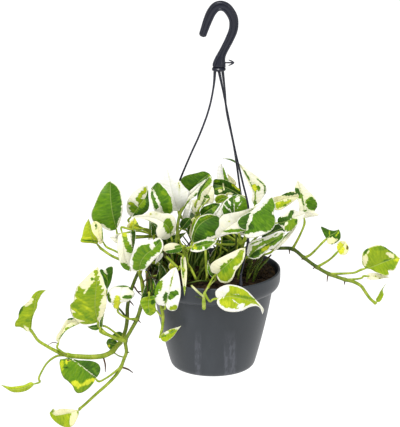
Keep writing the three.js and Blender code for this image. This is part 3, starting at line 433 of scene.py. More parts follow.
def plastic_material(name, dark, light, roughness, glint_streaks=()):
    material, tree, shader = new_material(name)
    place = object_place(tree)
    flow = noise_of(tree, place, (1.0, 1.0, 0.25), 28.0, 3.0, 0.55)
    grain = noise_of(tree, place, None, 1400.0, 2.0, 0.6)
    scuff = noise_of(tree, place, (1.0, 1.0, 0.35), 120.0, 4.0, 0.7)
    colour = mix(tree, between(tree, flow, 0.35, 0.7), dark, light)
    colour = mix(tree, times(tree, between(tree, scuff, 0.62, 0.75), 0.2), colour, SCUFF_COLOUR)
    # Painted reflection: paler glint bands are mixed into the colour low on the front.
    if glint_streaks:
        colour = mix(tree, times(tree, painted_glint_show(tree, place, glint_streaks), 0.5), colour, PAINTED_GLINT_COLOUR)
    rough = plus(tree, times(tree, flow, 0.16), roughness - 0.08)
    height = plus(tree, times(tree, grain, 0.4), times(tree, flow, 1.6))
    connect(tree, shader, Base_Color=colour, Roughness=rough, Normal=bumped(tree, height, 0.25, 0.0005),
            Specular_IOR_Level=0.4)
    return material


PEAT_DARK = rgb(0.005, 0.003, 0.0015)
PEAT_LIGHT = rgb(0.04, 0.022, 0.008)
FIBRE_COLOUR = rgb(0.1, 0.065, 0.025)


def soil_material():
    material, tree, shader = new_material("soil")
    place = object_place(tree)
    clods = noise_of(tree, place, None, 160.0, 5.0, 0.65)
    fibres = noise_of(tree, place, (1.0, 0.35, 1.0), 700.0, 3.0, 0.6)
    colour = mix(tree, between(tree, clods, 0.35, 0.7), PEAT_DARK, PEAT_LIGHT)
    colour = mix(tree, times(tree, between(tree, fibres, 0.6, 0.72), 0.5), colour, FIBRE_COLOUR)
    height = plus(tree, clods, times(tree, fibres, 0.5))
    connect(tree, shader, Base_Color=colour, Roughness=0.95, Normal=bumped(tree, height, 0.9, 0.002),
            Specular_IOR_Level=0.15)
    return material


# Meshes

class Build:
    """Points, faces and one vector attribute per point, gathered from several closed shapes."""

    def __init__(self):
        self.points = []
        self.faces = []
        self.values = []
        self.count = 0

    def add(self, points, faces, values=None):
        self.points.append(points)
        self.faces.extend(tuple(i + self.count for i in face) for face in faces)
        self.values.append(np.zeros((len(points), 3)) if values is None else values)
        self.count += len(points)

    def piece(self, name, material, slot, stands_for=(), attribute_name=None):
        vectors = {attribute_name: np.concatenate(self.values)} if attribute_name else {}
        mesh = new_mesh(name, np.concatenate(self.points), self.faces, vectors)
        finish_piece(name, mesh, material, stands_for)


def new_mesh(name, points, faces, vectors):
    """A mesh from points in millimetres in the pot's frame, with the given vector attributes."""
    mesh = bpy.data.meshes.new(name)
    mesh.from_pydata(((points - SEAT) * MM).tolist(), [], faces)
    for key, data in vectors.items():
        layer = mesh.attributes.new(key, "FLOAT_VECTOR", "POINT")
        layer.data.foreach_set("vector", data.astype(np.float32).ravel())
    return mesh


def finish_piece(name, mesh, material, stands_for):
    mesh.validate()
    mesh.materials.append(material)
    mesh.polygons.foreach_set("use_smooth", [True] * len(mesh.polygons))
    mesh.update()
    piece = bpy.data.objects.new(name, mesh)
    bpy.context.collection.objects.link(piece)
    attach(piece, "root")
    if stands_for:
        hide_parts(*stands_for)


def smooth_path(points, step):
    """A centripetal curve through the points, as points about a step apart."""
    points = [np.asarray(p, float) for p in points]
    points = [2 * points[0] - points[1], *points, 2 * points[-1] - points[-2]]
    result = []
    for p0, p1, p2, p3 in zip(points, points[1:], points[2:], points[3:]):
        t0 = 0.0
        t1 = t0 + np.linalg.norm(p1 - p0) ** 0.5
        t2 = t1 + np.linalg.norm(p2 - p1) ** 0.5
        t3 = t2 + np.linalg.norm(p3 - p2) ** 0.5
        count = max(2, int(np.linalg.norm(p2 - p1) / step))
        for t in np.linspace(t1, t2, count, endpoint=False):
            a1 = (t1 - t) / (t1 - t0) * p0 + (t - t0) / (t1 - t0) * p1
            a2 = (t2 - t) / (t2 - t1) * p1 + (t - t1) / (t2 - t1) * p2
            a3 = (t3 - t) / (t3 - t2) * p2 + (t - t2) / (t3 - t2) * p3
            b1 = (t2 - t) / (t2 - t0) * a1 + (t - t0) / (t2 - t0) * a2
            b2 = (t3 - t) / (t3 - t1) * a2 + (t - t1) / (t3 - t1) * a3
            result.append((t2 - t) / (t2 - t1) * b1 + (t - t1) / (t2 - t1) * b2)
    result.append(points[-2])
    return np.array(result)


def lengths_along(path):
    return np.concatenate([[0.0], np.cumsum(np.linalg.norm(np.diff(path, axis=0), axis=1))])


def resampled(path, count, power=1.0):
    """Points at even shares of a path's length, or bunched towards its start by a power above 1."""
    along = lengths_along(path)
    wanted = np.linspace(0, 1, count) ** power * along[-1]
    return np.stack([np.interp(wanted, along, path[:, k]) for k in range(path.shape[1])], axis=1)


def headings_of(path):
    headings = np.gradient(path, axis=0)
    return headings / (np.linalg.norm(headings, axis=1)[:, None] + 1e-12)


def tube(path, radii, sides=12, squash=1.0, flat_axis=(0.3, 0.5, 0.8)):
    """A closed bar with domed ends. squash thins it across flat_axis."""
    path = np.asarray(path, float)
    radii = np.broadcast_to(np.asarray(radii, float), (len(path),)).copy()
    tangents = headings_of(path)
    start = path[0] - tangents[0] * radii[0] * DOME_REACH
    end = path[-1] + tangents[-1] * radii[-1] * DOME_REACH
    normal = np.cross(tangents[0], flat_axis)
    rings = []
    angles = np.linspace(0, 2 * math.pi, sides, endpoint=False)[:, None]
    for centre, tangent, radius in zip(path, tangents, radii):
        normal = unit(normal - tangent * np.dot(normal, tangent))
        other = np.cross(tangent, normal)
        rings.append(centre + radius * (np.cos(angles) * normal + squash * np.sin(angles) * other))
    first = start + (rings[0] - path[0]) * DOME_WIDTH
    last = end + (rings[-1] - path[-1]) * DOME_WIDTH
    rings = [first, *rings, last]
    tips = [start - tangents[0] * radii[0] * DOME_TIP, end + tangents[-1] * radii[-1] * DOME_TIP]
    faces = []
    for i in range(len(rings) - 1):
        for j in range(sides):
            k = (j + 1) % sides
            faces.append((i * sides + j, i * sides + k, (i + 1) * sides + k, (i + 1) * sides + j))
    tip = len(rings) * sides
    for j in range(sides):
        k = (j + 1) % sides
        faces.append((tip, k, j))
        faces.append((tip + 1, tip - sides + j, tip - sides + k))
    return np.concatenate([*rings, tips]), faces


def ring_faces(rings, sides):
    """The faces of a closed stack of rings, with one point before the first ring and one after the last."""
    faces = []
    last = 1 + (rings - 1) * sides
    for j in range(sides):
        k = (j + 1) % sides
        faces.append((0, 1 + k, 1 + j))
        for i in range(rings - 1):
            a, b = 1 + i * sides, 1 + (i + 1) * sides
            faces.append((a + j, a + k, b + k, b + j))
        faces.append((last + sides, last + j, last + k))
    return faces


def spun(profile, segments):
    """A closed shape turned about the pot's axis, from (radius, level) pairs from axis to axis."""
    angles = np.linspace(0, 2 * math.pi, segments, endpoint=False)
    rows = []
    for radius, level in profile[1:-1]:
        x, y = radius * np.sin(angles), -radius * np.cos(angles)
        rows.append(np.stack([x, y, np.full(segments, level)], axis=1))
    points = np.concatenate([[[0, 0, profile[0][1]]], *rows, [[0, 0, profile[-1][1]]]])
    return points, ring_faces(len(rows), segments)


def rounded(profile):
    """Cuts the corners of an open profile twice, keeping its ends."""
    for _ in range(2):
        cut = [profile[0]]
        for a, b in zip(profile, profile[1:]):
            a, b = np.array(a), np.array(b)
            cut += [tuple(a * 0.75 + b * 0.25), tuple(a * 0.25 + b * 0.75)]
        profile = [*cut, profile[-1]]
    return profile


# Pot and soil

def body_radius(level):
    t = level / COLLAR_FOOT
    widened = (1 + BODY_SWELL) * t - BODY_SWELL * t * t
    return BODY_FOOT_RADIUS + (BODY_TOP_RADIUS - BODY_FOOT_RADIUS) * widened


def pot_profile():
    """The pot's section: underside, foot ring, body, collar and rim, then down the inside to the floor."""
    outer = [(0, 1.2), (20, 1.2), (36, 1.0), (38, 0), (40.5, 0), (43.8, 0.8), (46.2, 3)]
    outer += [(body_radius(z), z) for z in (6, 9, 12, 13, 14, 24, 36, 50, 64, 76, 84, COLLAR_FOOT - 1.5)]
    outer += [(body_radius(COLLAR_FOOT), COLLAR_FOOT), (68.2, COLLAR_FOOT + 0.5), (71.2, COLLAR_FOOT + 2)]
    outer += [(73.6, COLLAR_FOOT + 5), (74.7, COLLAR_FOOT + 9), (RIM_RADIUS, COLLAR_FOOT + 13)]
    outer += [(RIM_RADIUS, POT_HEIGHT - 2), (RIM_RADIUS - 0.2, POT_HEIGHT - 0.4)]
    outer += [(RIM_RADIUS - 1.2, POT_HEIGHT), (RIM_INNER_RADIUS + 0.8, POT_HEIGHT)]
    inner = [(RIM_INNER_RADIUS, POT_HEIGHT - 1), (RIM_INNER_RADIUS, COLLAR_FOOT + 10)]
    inner += [(RIM_INNER_RADIUS - 1.4, COLLAR_FOOT + 6), (68, COLLAR_FOOT + 3.2)]
    inner += [(body_radius(z) - WALL, z) for z in (COLLAR_FOOT, 70, 40, 20, 7)]
    return rounded([*outer, *inner, (40, 2.4), (0, 2.4)])


def make_pot(material):
    build = Build()
    build.add(*spun(pot_profile(), POT_SEGMENTS))
    build.piece("pot_shell", material, "pot_plastic", ("pot",))


def soil_level(x, y):
    heap = SOIL_EDGE_LEVEL + SOIL_HEAP * (1 - (math.hypot(x, y) / SOIL_RADIUS) ** 2)
    lumps = [height * noise.noise(Vector((x * rate, y * rate, seed))) for height, rate, seed in SOIL_LUMPS]
    return heap + sum(lumps)


def make_soil(material):
    under = [(0, 3.0), (40, 3.0)]
    under += [(body_radius(z) - WALL - 0.5, z) for z in (8, 45, COLLAR_FOOT)]
    under += [(67.2, COLLAR_FOOT + 4.2), (SOIL_RADIUS, COLLAR_FOOT + 7), (SOIL_RADIUS, SOIL_EDGE_LEVEL - 3)]
    top = [(SOIL_RADIUS * (1 - i / SOIL_RINGS), 0) for i in range(SOIL_RINGS + 1)]
    points, faces = spun([*under, *top], SOIL_SEGMENTS)
    first_top = 1 + (len(under) - 1) * SOIL_SEGMENTS
    for point in points[first_top:]:
        point[2] = soil_level(point[0], point[1])
    build = Build()
    build.add(points, faces)
    random.seed(CRUMB_SEED)
    for _ in range(CRUMB_COUNT):
        radius, angle = CRUMB_REACH * math.sqrt(random.random()), random.uniform(0, 2 * math.pi)
        x, y = radius * math.cos(angle), radius * math.sin(angle)
        size = random.uniform(*CRUMB_SIZE)
        build.add(*crumb(x, y, soil_level(x, y) + size * 0.25, size))
    build.piece("soil_mass", material, "soil", ("soil",))


def crumb(x, y, z, size):
    """A small lump: a ball of a few rings, pushed about."""
    points = [[0, 0, -size]]
    for level, share in CRUMB_RINGS:
        for j in range(CRUMB_SIDES):
            angle = 2 * math.pi / CRUMB_SIDES * j + level
            reach = size * share * random.uniform(0.7, 1.25)
            points.append([reach * math.cos(angle), reach * math.sin(angle), size * level * 0.8])
    points.append([0, 0, size * random.uniform(0.6, 0.9)])
    return np.array(points) + np.array([x, y, z]), ring_faces(len(CRUMB_RINGS), CRUMB_SIDES)


# Hanger

def add_ribs(build, path, radii):
    """The ribs on both faces of the hook's bar, along both of its edges."""
    headings = headings_of(path)
    aside = np.stack([-headings[:, 2], np.zeros(len(path)), headings[:, 0]], axis=1)
    for side in (-1, 1):
        for face in (-1, 1):
            rib = path + aside * (side * (radii - RIB_RADIUS))[:, None]
            rib[:, 1] += face * RIB_STAND_OUT * radii
            build.add(*tube(rib, RIB_RADIUS, 12))


def add_barb(build):
    """The arrow that holds a label, on the right of the hook's foot."""
    build.add(*tube([(x, 0, BARB_LEVEL) for x in BARB_SHAFT], [0.8, 0.8, 0.9], 12))
    for side in (-1, 1):
        arm = [(x, 0, BARB_LEVEL + side * distance) for x, distance in BARB_ARM]
        build.add(*tube(arm, [1.0, 0.8, 0.5], 10))


def make_hook(material):
    build = Build()
    bar = smooth_path(CROOK, 1.0)
    bar = bar[(bar[:, 1] > BAR_END) | (bar[:, 0] < 0)]
    path = np.stack([bar[:, 0], np.zeros(len(bar)), bar[:, 1]], axis=1)
    radii = bar[:, 2]
    build.add(*tube(path, radii, 24, WEB_SQUASH, (0, 1, 0)))
    add_ribs(build, path, radii)
    points, faces = spun(rounded(FOOT_OUTLINE), 48)
    build.add(points + np.array([FOOT_CENTRE, 0, FOOT_BOTTOM]), faces)
    add_barb(build)
    build.piece("hook", material, "hanger_plastic", ("hanger_hook",))


def add_clip(build, outward, head, low):
    """The flat tab inside the rim, and the prong that holds it in the collar."""
    shares = np.linspace(0, 1, CLIP_STEPS)
    tab = np.array([head + (low - head) * t for t in shares])
    widths = CLIP_WIDTH / 2 * np.interp(shares, *zip(*CLIP_FORM))
    build.add(*tube(tab, widths, 16, CLIP_THICKNESS / CLIP_WIDTH, outward))
    prong_start = np.array([head[0], head[1], PRONG_LEVEL])
    prong_end = outward * (RIM_RADIUS - PRONG_INSET) + np.array([0, 0, PRONG_LEVEL])
    build.add(*tube([prong_start, (prong_start + prong_end) / 2, prong_end], PRONG_RADIUS, 12))


def make_strand(name, material):
    turned = math.radians(CLIPS[name])
    outward = np.array([math.sin(turned), -math.cos(turned), 0.0])
    inside = outward * (RIM_INNER_RADIUS - CLIP_GAP - CLIP_THICKNESS / 2)
    head = inside + np.array([0, 0, POT_HEIGHT + CLIP_RISE])
    low = inside + np.array([0, 0, POT_HEIGHT - CLIP_DROP])
    path = smooth_path([*STRANDS[name], head], 1.5)
    share = lengths_along(path) / lengths_along(path)[-1]
    build = Build()
    build.add(*tube(path, np.maximum(STRAND_RADIUS, STRAND_HEAD_RADIUS - share * STRAND_TAPER), 10))
    add_clip(build, outward, head, low)
    build.piece(f"strand_{name}_line", material, "hanger_plastic", (f"strand_{name}",))


# Leaves. rib is the midrib from base to tip, as picture points with their nearness. left and right are the
# margins on its two sides, from base to tip, as picture points. A plain leaf has a width in picture points
# instead. lift, rim and tone are for both halves, or for the left and the right one. lift is how much
# nearer a half gets per millimetre away from the midrib. rim is the width of the white margin, where
# ALL_WHITE leaves no green but the marks. fray is how far white fingers reach into the green. tone runs
# from 0, deep green, to 1, yellow. cream is the warmth of the white. wave is the height of the margin's
# waves, and bulge is how full the halves are. stalk thickens the leaf stalk, and via holds points on its
# way. marks are ellipses: picture x and y, half width, half height, turn in degrees and tone, where WHITE
# and BROWN are tones too.

ALL_WHITE = 99
WHITE = -1
BROWN = 2

USUAL_LEAF = dict(lift=0.25, rim=0.4, fray=0.0, tone=0.3, cream=0.3, marks=(), via=(), wave=0.8, bulge=0.12,
                  stalk=1.0)
LEAVES = {}


def leaf(name, stem, stem_node, **given):
    """Notes a leaf that grows from a node of a stem, usual but for what is given."""
    noted = {**USUAL_LEAF, "stem": stem, "node": stem_node, **given}
    for key in ("lift", "rim", "tone"):
        if not isinstance(noted[key], tuple):
            noted[key] = (noted[key], noted[key])
    LEAVES["leaf_" + name] = noted


leaf("upper_left", "crown_left", 4,
     rib=[(116.5, 229.5, 12), (112.5, 213, 16), (110.5, 196, 13), (110.5, 181, 4)],
     left=[(110, 230.8), (102, 227), (92.5, 220.5), (91.3, 213), (94, 206), (98, 196), (103, 187.3),
           (107, 182.3)],
     right=[(119.3, 224), (122.2, 214), (123.1, 205), (121.3, 195), (119.8, 189.5), (115.5, 184.3)],
     lift=(0.1, 0.55), rim=(0.6, 1.0), tone=(0.3, 0.2), via=[(139, 231, 12), (125, 233, 13)],
     marks=[(123, 208, 1.7, 14, 6, WHITE), (119, 224, 1.6, 9, 14, WHITE),
            (99.5, 227.6, 13, 4.2, 24, WHITE)])
# far_left: its pale streak and the dark line under it are painted light and painted shade of the fold where
# its lobe curls.
leaf("far_left", "vine_left_low", 3, rib=[(97.5, 244.5, 10), (93, 239, 12), (90, 229, 9), (88.7, 218.3, 4)],
     left=[(92, 243.3), (86, 243), (80.5, 241.7), (82, 236), (83.2, 230), (85, 224.5)],
     right=[(98.3, 240), (96, 236), (92.8, 232), (91, 225)], lift=(0.25, 0.4), rim=0.2, tone=0.72,
     stalk=1.3, via=[(128, 263, 34), (112, 256, 28), (101, 248.5, 18)],
     marks=[(87, 237.8, 6.5, 0.7, 0, 0.95), (89, 240.6, 7, 0.8, 4, 0.2)])
# left_rolled: its long narrow green mark along the right edge is painted shade on that shadowed edge.
leaf("left_rolled", "vine_left_low", 3,
     rib=[(103.5, 242.5, 21.5), (99.5, 236, 24.5), (97.5, 228, 22.5), (93.5, 220.8, 17.5)],
     left=[(99.5, 244), (97, 238), (93, 233), (91, 226)],
     right=[(103.2, 237), (102.6, 230), (101.2, 225), (97, 221.5)], lift=(0.3, 0.6), rim=ALL_WHITE,
     cream=1.0, via=[(130, 260, 33), (116, 251.5, 30)],
     marks=[(96, 226.3, 1.2, 2.4, 0, 0.1), (102.6, 234, 0.6, 7, -4, 0.4)])
leaf("left_droop", "crown_left", 4,
     rib=[(122, 232.5, 38), (123.5, 244, 46), (125, 257, 46), (131.5, 271.7, 41)],
     left=[(128, 233.5), (131.5, 240), (132.5, 248), (133, 256), (130.5, 264)],
     right=[(118.5, 235.5), (117.3, 243), (117.5, 250), (118.5, 257), (120, 263), (124, 268.8)], lift=0.1,
     rim=ALL_WHITE, cream=0.4, via=[(146, 229, 24), (131, 229.5, 34)],
     marks=[(126.5, 243.5, 2.6, 10, -17, 0.42), (124.5, 234.5, 3, 2.4, 0, 0.85),
            (130, 249, 2.6, 4.5, -10, 0.3), (125, 267, 5.6, 3.4, 35, 0.33)])
leaf("left_spotted", "crown_left", 4, rib=[(131, 217, 0), (139, 206, 5), (145, 197, 3), (147.5, 185, -4)],
     left=[(127.5, 213), (126.5, 207), (127.5, 200.5), (131, 195), (137, 189.3), (142, 186.5)],
     right=[(137, 216.8), (143.5, 214), (148, 210), (149.4, 205), (148.6, 197), (148.4, 190)],
     lift=(0.1, 0.2), rim=(ALL_WHITE, 0.2), tone=0.1, cream=0.3, via=[(141, 228, 6)],
     marks=[(131, 203.5, 3.4, 2, 10, 0.62), (134, 209, 5, 4, 25, 0.4), (140, 196, 2.2, 6, 32, 0.62),
            (142, 203, 4, 5, 20, 0.5), (145, 190.5, 1.8, 3.6, 12, 0.75), (137, 199, 1.6, 2.2, 0, 0.42),
            (136.3, 203.5, 0.8, 3, -30, WHITE)])
leaf("two_patch", "crown_left", 4,
     rib=[(162.5, 214.5, 22), (159.5, 205, 25), (156, 195, 21), (150.8, 188.3, 14)],
     left=[(157, 213.8), (153.3, 208.5), (151, 202), (149.6, 195.5)],
     right=[(169, 214.5), (173.5, 211), (173.3, 204), (171, 196), (165.5, 187.7), (160.5, 182.8),
            (157.8, 181.4), (154, 184.5)], rim=(1.3, 1.2), tone=(0.2, 0.24), cream=0.1,
     marks=[(157.6, 200.5, 1.5, 13.5, -23, WHITE), (159.5, 212, 4, 4.6, 0, WHITE),
            (170, 205, 2.2, 8, 0, 0.42), (163.5, 193, 4, 1.6, 40, 0.4)])
leaf("white_tall", "crown_back", 3,
     rib=[(178, 211, 8), (174, 198, 13), (170.3, 184, 11), (167.5, 169.5, 6)],
     left=[(172, 210), (168.5, 202), (163, 191), (158.5, 182.5), (163.5, 176)],
     right=[(184, 205), (188, 197.5), (189.2, 191.8), (184.5, 186.8), (180.3, 181.5), (174.3, 176.3)],
     rim=ALL_WHITE, cream=0.0,
     marks=[(179.4, 187, 0.6, 3.4, 0, BROWN), (178.6, 183.5, 0.5, 1.6, 20, BROWN)])
leaf("back_dark", "crown_back", 4,
     rib=[(189, 192, -14), (196, 184.5, -14), (203, 178.5, -17), (209.5, 173.5, -22)],
     left=[(184.3, 186.5), (180.6, 181), (183, 177), (188, 174.8), (196, 173), (204, 171.2)],
     right=[(193, 189), (198, 184), (204, 181.8), (209.5, 182), (212, 178.5)], lift=(0.15, 0.3), rim=0.2,
     tone=0.2, marks=[(210, 178.5, 2.2, 4.2, -10, 0.5), (200, 174.5, 6, 1, -5, 0.3)])
leaf("back_band", "crown_back", 3,
     rib=[(182, 208, -2), (187, 198.5, -5), (195.5, 189.5, -8), (206, 179, -12)],
     left=[(180.3, 202), (183.7, 196), (189, 191.5), (197.5, 184.5)],
     right=[(185.5, 207), (190.5, 200), (196.5, 195.5), (200, 189), (204, 183.5)], lift=(0.1, 0.2),
     rim=ALL_WHITE, cream=0.15, marks=[(195.8, 195, 2.6, 1.5, -35, 0.18), (187, 203, 0.8, 5, 35, 0.5)])
leaf("inner_white", "crown_back", 3, rib=[(186, 219.5, 12), (189.3, 209, 13), (191.5, 199.5, 10)],
     left=[(182.5, 218), (184, 211), (187.5, 203.5)], right=[(189, 218), (191, 210), (192.7, 203)],
     rim=ALL_WHITE, cream=0.1)
leaf("inner_panel", "crown_back", 4, rib=[(195.5, 215.5, -2), (196, 208, -3), (196.3, 199, -5)],
     left=[(192, 212), (191.3, 206), (191.6, 200.5)], right=[(199, 211), (200.6, 205), (200.4, 200.5)],
     rim=ALL_WHITE, cream=0.5, marks=[(191.7, 206, 0.6, 6, 0, 0.2), (197.5, 213, 2.5, 1.5, 0, 0.5)])
leaf("inner_olive", "crown_front", 3, rib=[(181.5, 229, 14), (185.5, 223.5, 15), (190.5, 217.5, 14)],
     left=[(179.5, 225), (181, 220.5), (185, 217.8)], right=[(185, 229), (189.8, 225), (191.4, 221)],
     rim=0.2, tone=0.07)
leaf("inner_tan", "crown_front", 3, rib=[(191.5, 238, 10), (191, 228, 12), (194, 217, 10)],
     left=[(188, 234), (187.5, 228), (190.5, 220)], right=[(194, 233), (195, 226), (196.3, 220)],
     rim=(ALL_WHITE, 0.4), tone=0.5, cream=1.0,
     marks=[(188.5, 230, 1.2, 4.5, 8, 0.12), (191.5, 222, 1, 2.5, 0, BROWN)])
leaf("centre_dark", "crown_right", 4, rib=[(201, 215.8, 18), (209, 210, 20), (219.5, 203.6, 16)],
     left=[(200, 211.3), (202.5, 207.5), (208.5, 204.6), (214, 202.8)],
     right=[(206, 216), (212, 215), (217, 211.5), (220.8, 207)], rim=(0.3, 0.2), tone=0.1,
     marks=[(214, 208.8, 2.4, 3.8, 10, 0.42), (207, 208, 3, 1.1, -20, 0.4)])
leaf("centre_chip", "crown_right", 4, rib=[(214, 217.8, 24), (218.5, 211, 24), (223.5, 202.5, 20)],
     left=[(213.3, 214.5), (216.3, 210), (220, 205)], right=[(219, 218), (222.7, 213), (224.3, 208)],
     rim=ALL_WHITE, cream=0.1)
leaf("centre_lime", "crown_right", 4, rib=[(216.5, 203, 8), (221, 199, 9), (229, 197, 6)],
     left=[(214.3, 199.5), (217, 195.5), (223, 194)], right=[(219, 203.5), (223.5, 202), (227.5, 199.5)],
     rim=(0.8, 0.5), tone=0.5, cream=0.8, marks=[(222, 199.5, 3, 0.8, -20, 0.15)])
# right_shadow: its darkest green is painted shade in the gap behind the right leaves.
leaf("right_shadow", "crown_right", 3, rib=[(262, 239, 8), (272, 232.5, 10), (286, 226.5, 8)],
     left=[(262, 233.5), (270, 227), (279, 224)], right=[(268, 240), (277, 237.5), (284.5, 232)], rim=0.1,
     tone=0.0)
leaf("back_striped", "crown_back", 4,
     rib=[(197, 200.5, -4), (200.5, 192, -6), (205, 184.5, -9), (210.5, 176, -14)],
     left=[(197.3, 194), (200.3, 187), (205, 181.5), (208, 177.8)],
     right=[(201, 200.5), (202.5, 193.5), (206, 189), (210.5, 185), (212.7, 181)], lift=(0.1, 0.5),
     rim=(0.3, 0.9), tone=(0.1, 0.42))
leaf("back_cream", "crown_back", 4, rib=[(201, 206, 0), (205, 199, -1), (209, 192.5, -3), (212, 185.5, -7)],
     left=[(200, 201), (201.5, 194.5), (205, 189.5), (209, 186)],
     right=[(204.5, 205), (209, 203.6), (213, 202.8), (214.2, 195), (213.8, 189)], rim=ALL_WHITE, cream=0.6,
     marks=[(206.8, 196.7, 2.9, 2.2, -10, 0.12), (203.5, 202, 1.2, 3.4, 35, 0.2)])
leaf("white_star", "crown_left", 2,
     rib=[(171, 237, 32), (168, 227, 37), (158, 219.5, 37), (145, 217, 33), (130.5, 217, 28)],
     left=[(166, 239.5), (158.5, 238), (155.8, 231), (157.5, 225.5), (150, 221.5), (143, 219), (136, 218)],
     right=[(175, 232), (176.3, 224), (174.5, 217.3), (169, 213.6), (162, 213.3), (155, 211.3),
            (150, 211.5), (144, 214.3), (137, 215.3)], rim=ALL_WHITE, cream=0.35,
     marks=[(168.3, 226, 4.6, 8, -10, 0.4), (151, 214, 0.9, 0.8, 0, BROWN),
            (156.5, 214, 0.8, 0.6, 0, BROWN), (149, 221.5, 4, 0.7, 18, 0.5)])
leaf("front_left", "vine_left_low", 3,
     rib=[(139.5, 270.5, 52), (140.7, 262, 57), (146, 254.5, 60), (154, 248.3, 62), (161.8, 239.3, 60)],
     left=[(133, 271.3), (129.5, 264), (131, 256.5), (134, 250), (138, 245), (145, 242.6), (151, 241.8),
           (155.5, 238.6), (159, 237.5)],
     right=[(144.5, 270), (150, 264.5), (155, 259), (161, 252.5), (163.4, 247), (163, 242.5)],
     lift=(0.05, 0.3), rim=(2.2, 1.6), tone=0.36, cream=0.1,
     marks=[(152.2, 246, 2.4, 3.3, -15, WHITE), (153, 259.5, 10.5, 2.5, -43, WHITE),
            (131, 265, 2, 6.5, 5, WHITE), (158.5, 241.5, 1.8, 2.4, 0, 0.15),
            (139, 245, 2.5, 1, -20, WHITE)])
leaf("cream_low", "crown_front", 4, rib=[(182, 246.5, 51), (173, 248.7, 55), (163, 250.5, 58)],
     left=[(181.5, 251), (176, 253), (168, 253.3)],
     right=[(179, 244.3), (173, 242.8), (167, 244), (163.3, 247)], rim=(0.2, ALL_WHITE), tone=0.15,
     cream=0.7, marks=[(178, 247, 3.4, 2.2, -20, 0.3)])
leaf("hanging_white", "shoot_hanging", 5,
     rib=[(165.5, 306, 68), (168, 296, 71), (171, 284, 70), (176, 267, 60)],
     left=[(158, 304.5), (155, 299.5), (154.5, 292), (156.5, 285), (160, 279.8), (166, 274.5),
           (171, 269.3)],
     right=[(168, 309.5), (172.5, 311), (176.8, 309.3), (178.9, 303), (180.6, 296), (181, 289), (180, 281),
            (178, 271.5)], lift=(0.15, 0.1), rim=ALL_WHITE, cream=0.1,
     marks=[(165.3, 296.5, 2.2, 4.4, 14, 0.12), (173.6, 294, 5.6, 3.3, -28, 0.2),
            (171, 297, 3.2, 2.4, 0, 0.3), (156.8, 289, 2.3, 9.5, 12, 0.36),
            (160.8, 285.5, 1.6, 5.5, 8, 0.5), (173.3, 307.8, 4.4, 2.4, -22, 0.66),
            (166, 301, 0.9, 3, 25, 0.45), (171.5, 281, 0.8, 6, 12, 0.55)])
leaf("lime_lobed", "vine_left_low", 5, rib=[(149, 296.5, 56), (148.5, 306, 59), (150.5, 316, 60)],
     left=[(154, 295.8), (156, 300), (155.6, 306), (156.3, 311), (153.5, 314.3)],
     right=[(143, 297.5), (139.8, 302), (141.7, 307), (143.5, 310.5), (146.5, 314.5)], rim=0.2, tone=0.5,
     wave=1.6,
     marks=[(153, 302, 1.6, 3, 20, 0.1), (147.5, 311.5, 1.5, 2, 0, 0.3), (154, 310, 1.6, 1.6, 0, 0.65),
            (152, 297.5, 2, 1.2, 0, 0.2)])
# front_lime: the thin white mark at 236.5, 294.3 is a painted highlight by the midrib.
leaf("front_lime", "shoot_front", 4,
     rib=[(217.5, 298.5, 82), (228, 296.3, 85), (240, 298, 85), (250, 301, 83), (257.5, 305, 81),
          (262.3, 309.3, 79), (262.6, 314.5, 77)],
     left=[(215.7, 296), (215.5, 291.5), (218.5, 288.3), (223, 285.8), (228.5, 284.5), (234.5, 285),
           (241, 286.8), (246.5, 290), (251, 294.3), (256, 299.7), (260.7, 304.8), (263.8, 309.5)],
     right=[(216.8, 302.5), (219, 306.7), (223.5, 310.2), (230, 312), (237, 311.9), (243, 310.5),
            (248, 307.8), (252, 306.4), (257, 306.2), (260.3, 308.5), (261.4, 311.5)], lift=(0.12, 0.08),
     rim=(1.5, 3.6), tone=0.7, cream=0.1, wave=0.4, via=[(210, 301.5, 83)],
     marks=[(219.5, 293, 6, 6.5, 0, WHITE), (224.5, 289.5, 5.5, 4.4, -25, WHITE),
            (226, 303.3, 6, 3, 10, 0.86), (241, 305.8, 4.8, 2.2, -22, WHITE),
            (235, 301.5, 6.5, 0.55, 36, WHITE), (236.5, 294.3, 3.2, 0.5, 0, WHITE),
            (244, 296.8, 13, 1.2, 12, 0.42), (240, 291, 7, 2.5, 24, 0.78)])
leaf("front_cream", "shoot_front", 3,
     rib=[(216.8, 274, 68), (223, 268.3, 72), (231, 260.8, 71), (239, 253.3, 67), (245.3, 248, 62)],
     left=[(212, 272.5), (210.2, 269), (210.6, 265), (214, 261.4), (221, 257.5), (229, 253.6),
           (236, 250.3), (241.5, 248)],
     right=[(217.3, 278), (220.5, 282.2), (226, 283.4), (231, 281.3), (233.9, 276.8), (235.8, 271.5),
            (239.3, 266.8), (242.6, 262.3), (244.6, 257.3), (245.4, 252)], lift=(0.2, 0.1),
     rim=(ALL_WHITE, 2.2), tone=0.56, cream=0.6,
     marks=[(236, 267.3, 3, 1.5, -30, WHITE), (239, 260.5, 4, 2.5, -35, 0.68),
            (224, 277.5, 4, 2.2, 20, 0.62), (223.5, 267, 2.8, 4.6, 35, 0.4), (230, 261.5, 5, 2, -38, 0.45),
            (226, 268, 3, 5, 25, 0.4), (240.5, 252, 3.5, 1.5, -45, 0.55)])
leaf("centre_green", "crown_front", 4,
     rib=[(193, 242.5, 39), (194.7, 233, 43), (199, 225.3, 41), (206.5, 219.8, 37), (217.5, 215.5, 28)],
     left=[(191, 238), (192.7, 230), (195.5, 222.5), (199, 217.3), (204, 214.8), (210, 213.8)],
     right=[(197, 243.8), (203, 240.5), (210, 239.8), (216.5, 237.8), (221, 232), (222.3, 226),
            (221.5, 219.5)], lift=(0.3, 0.1), rim=(1.0, 1.5), tone=(0.3, 0.13), cream=0.3,
     marks=[(213, 238.4, 9, 2.5, -13, WHITE), (220.8, 228.5, 2.1, 9, 14, WHITE),
            (209, 233.5, 4, 2.5, 0, 0.35), (206, 217.5, 6, 1.2, -22, 0.5)])
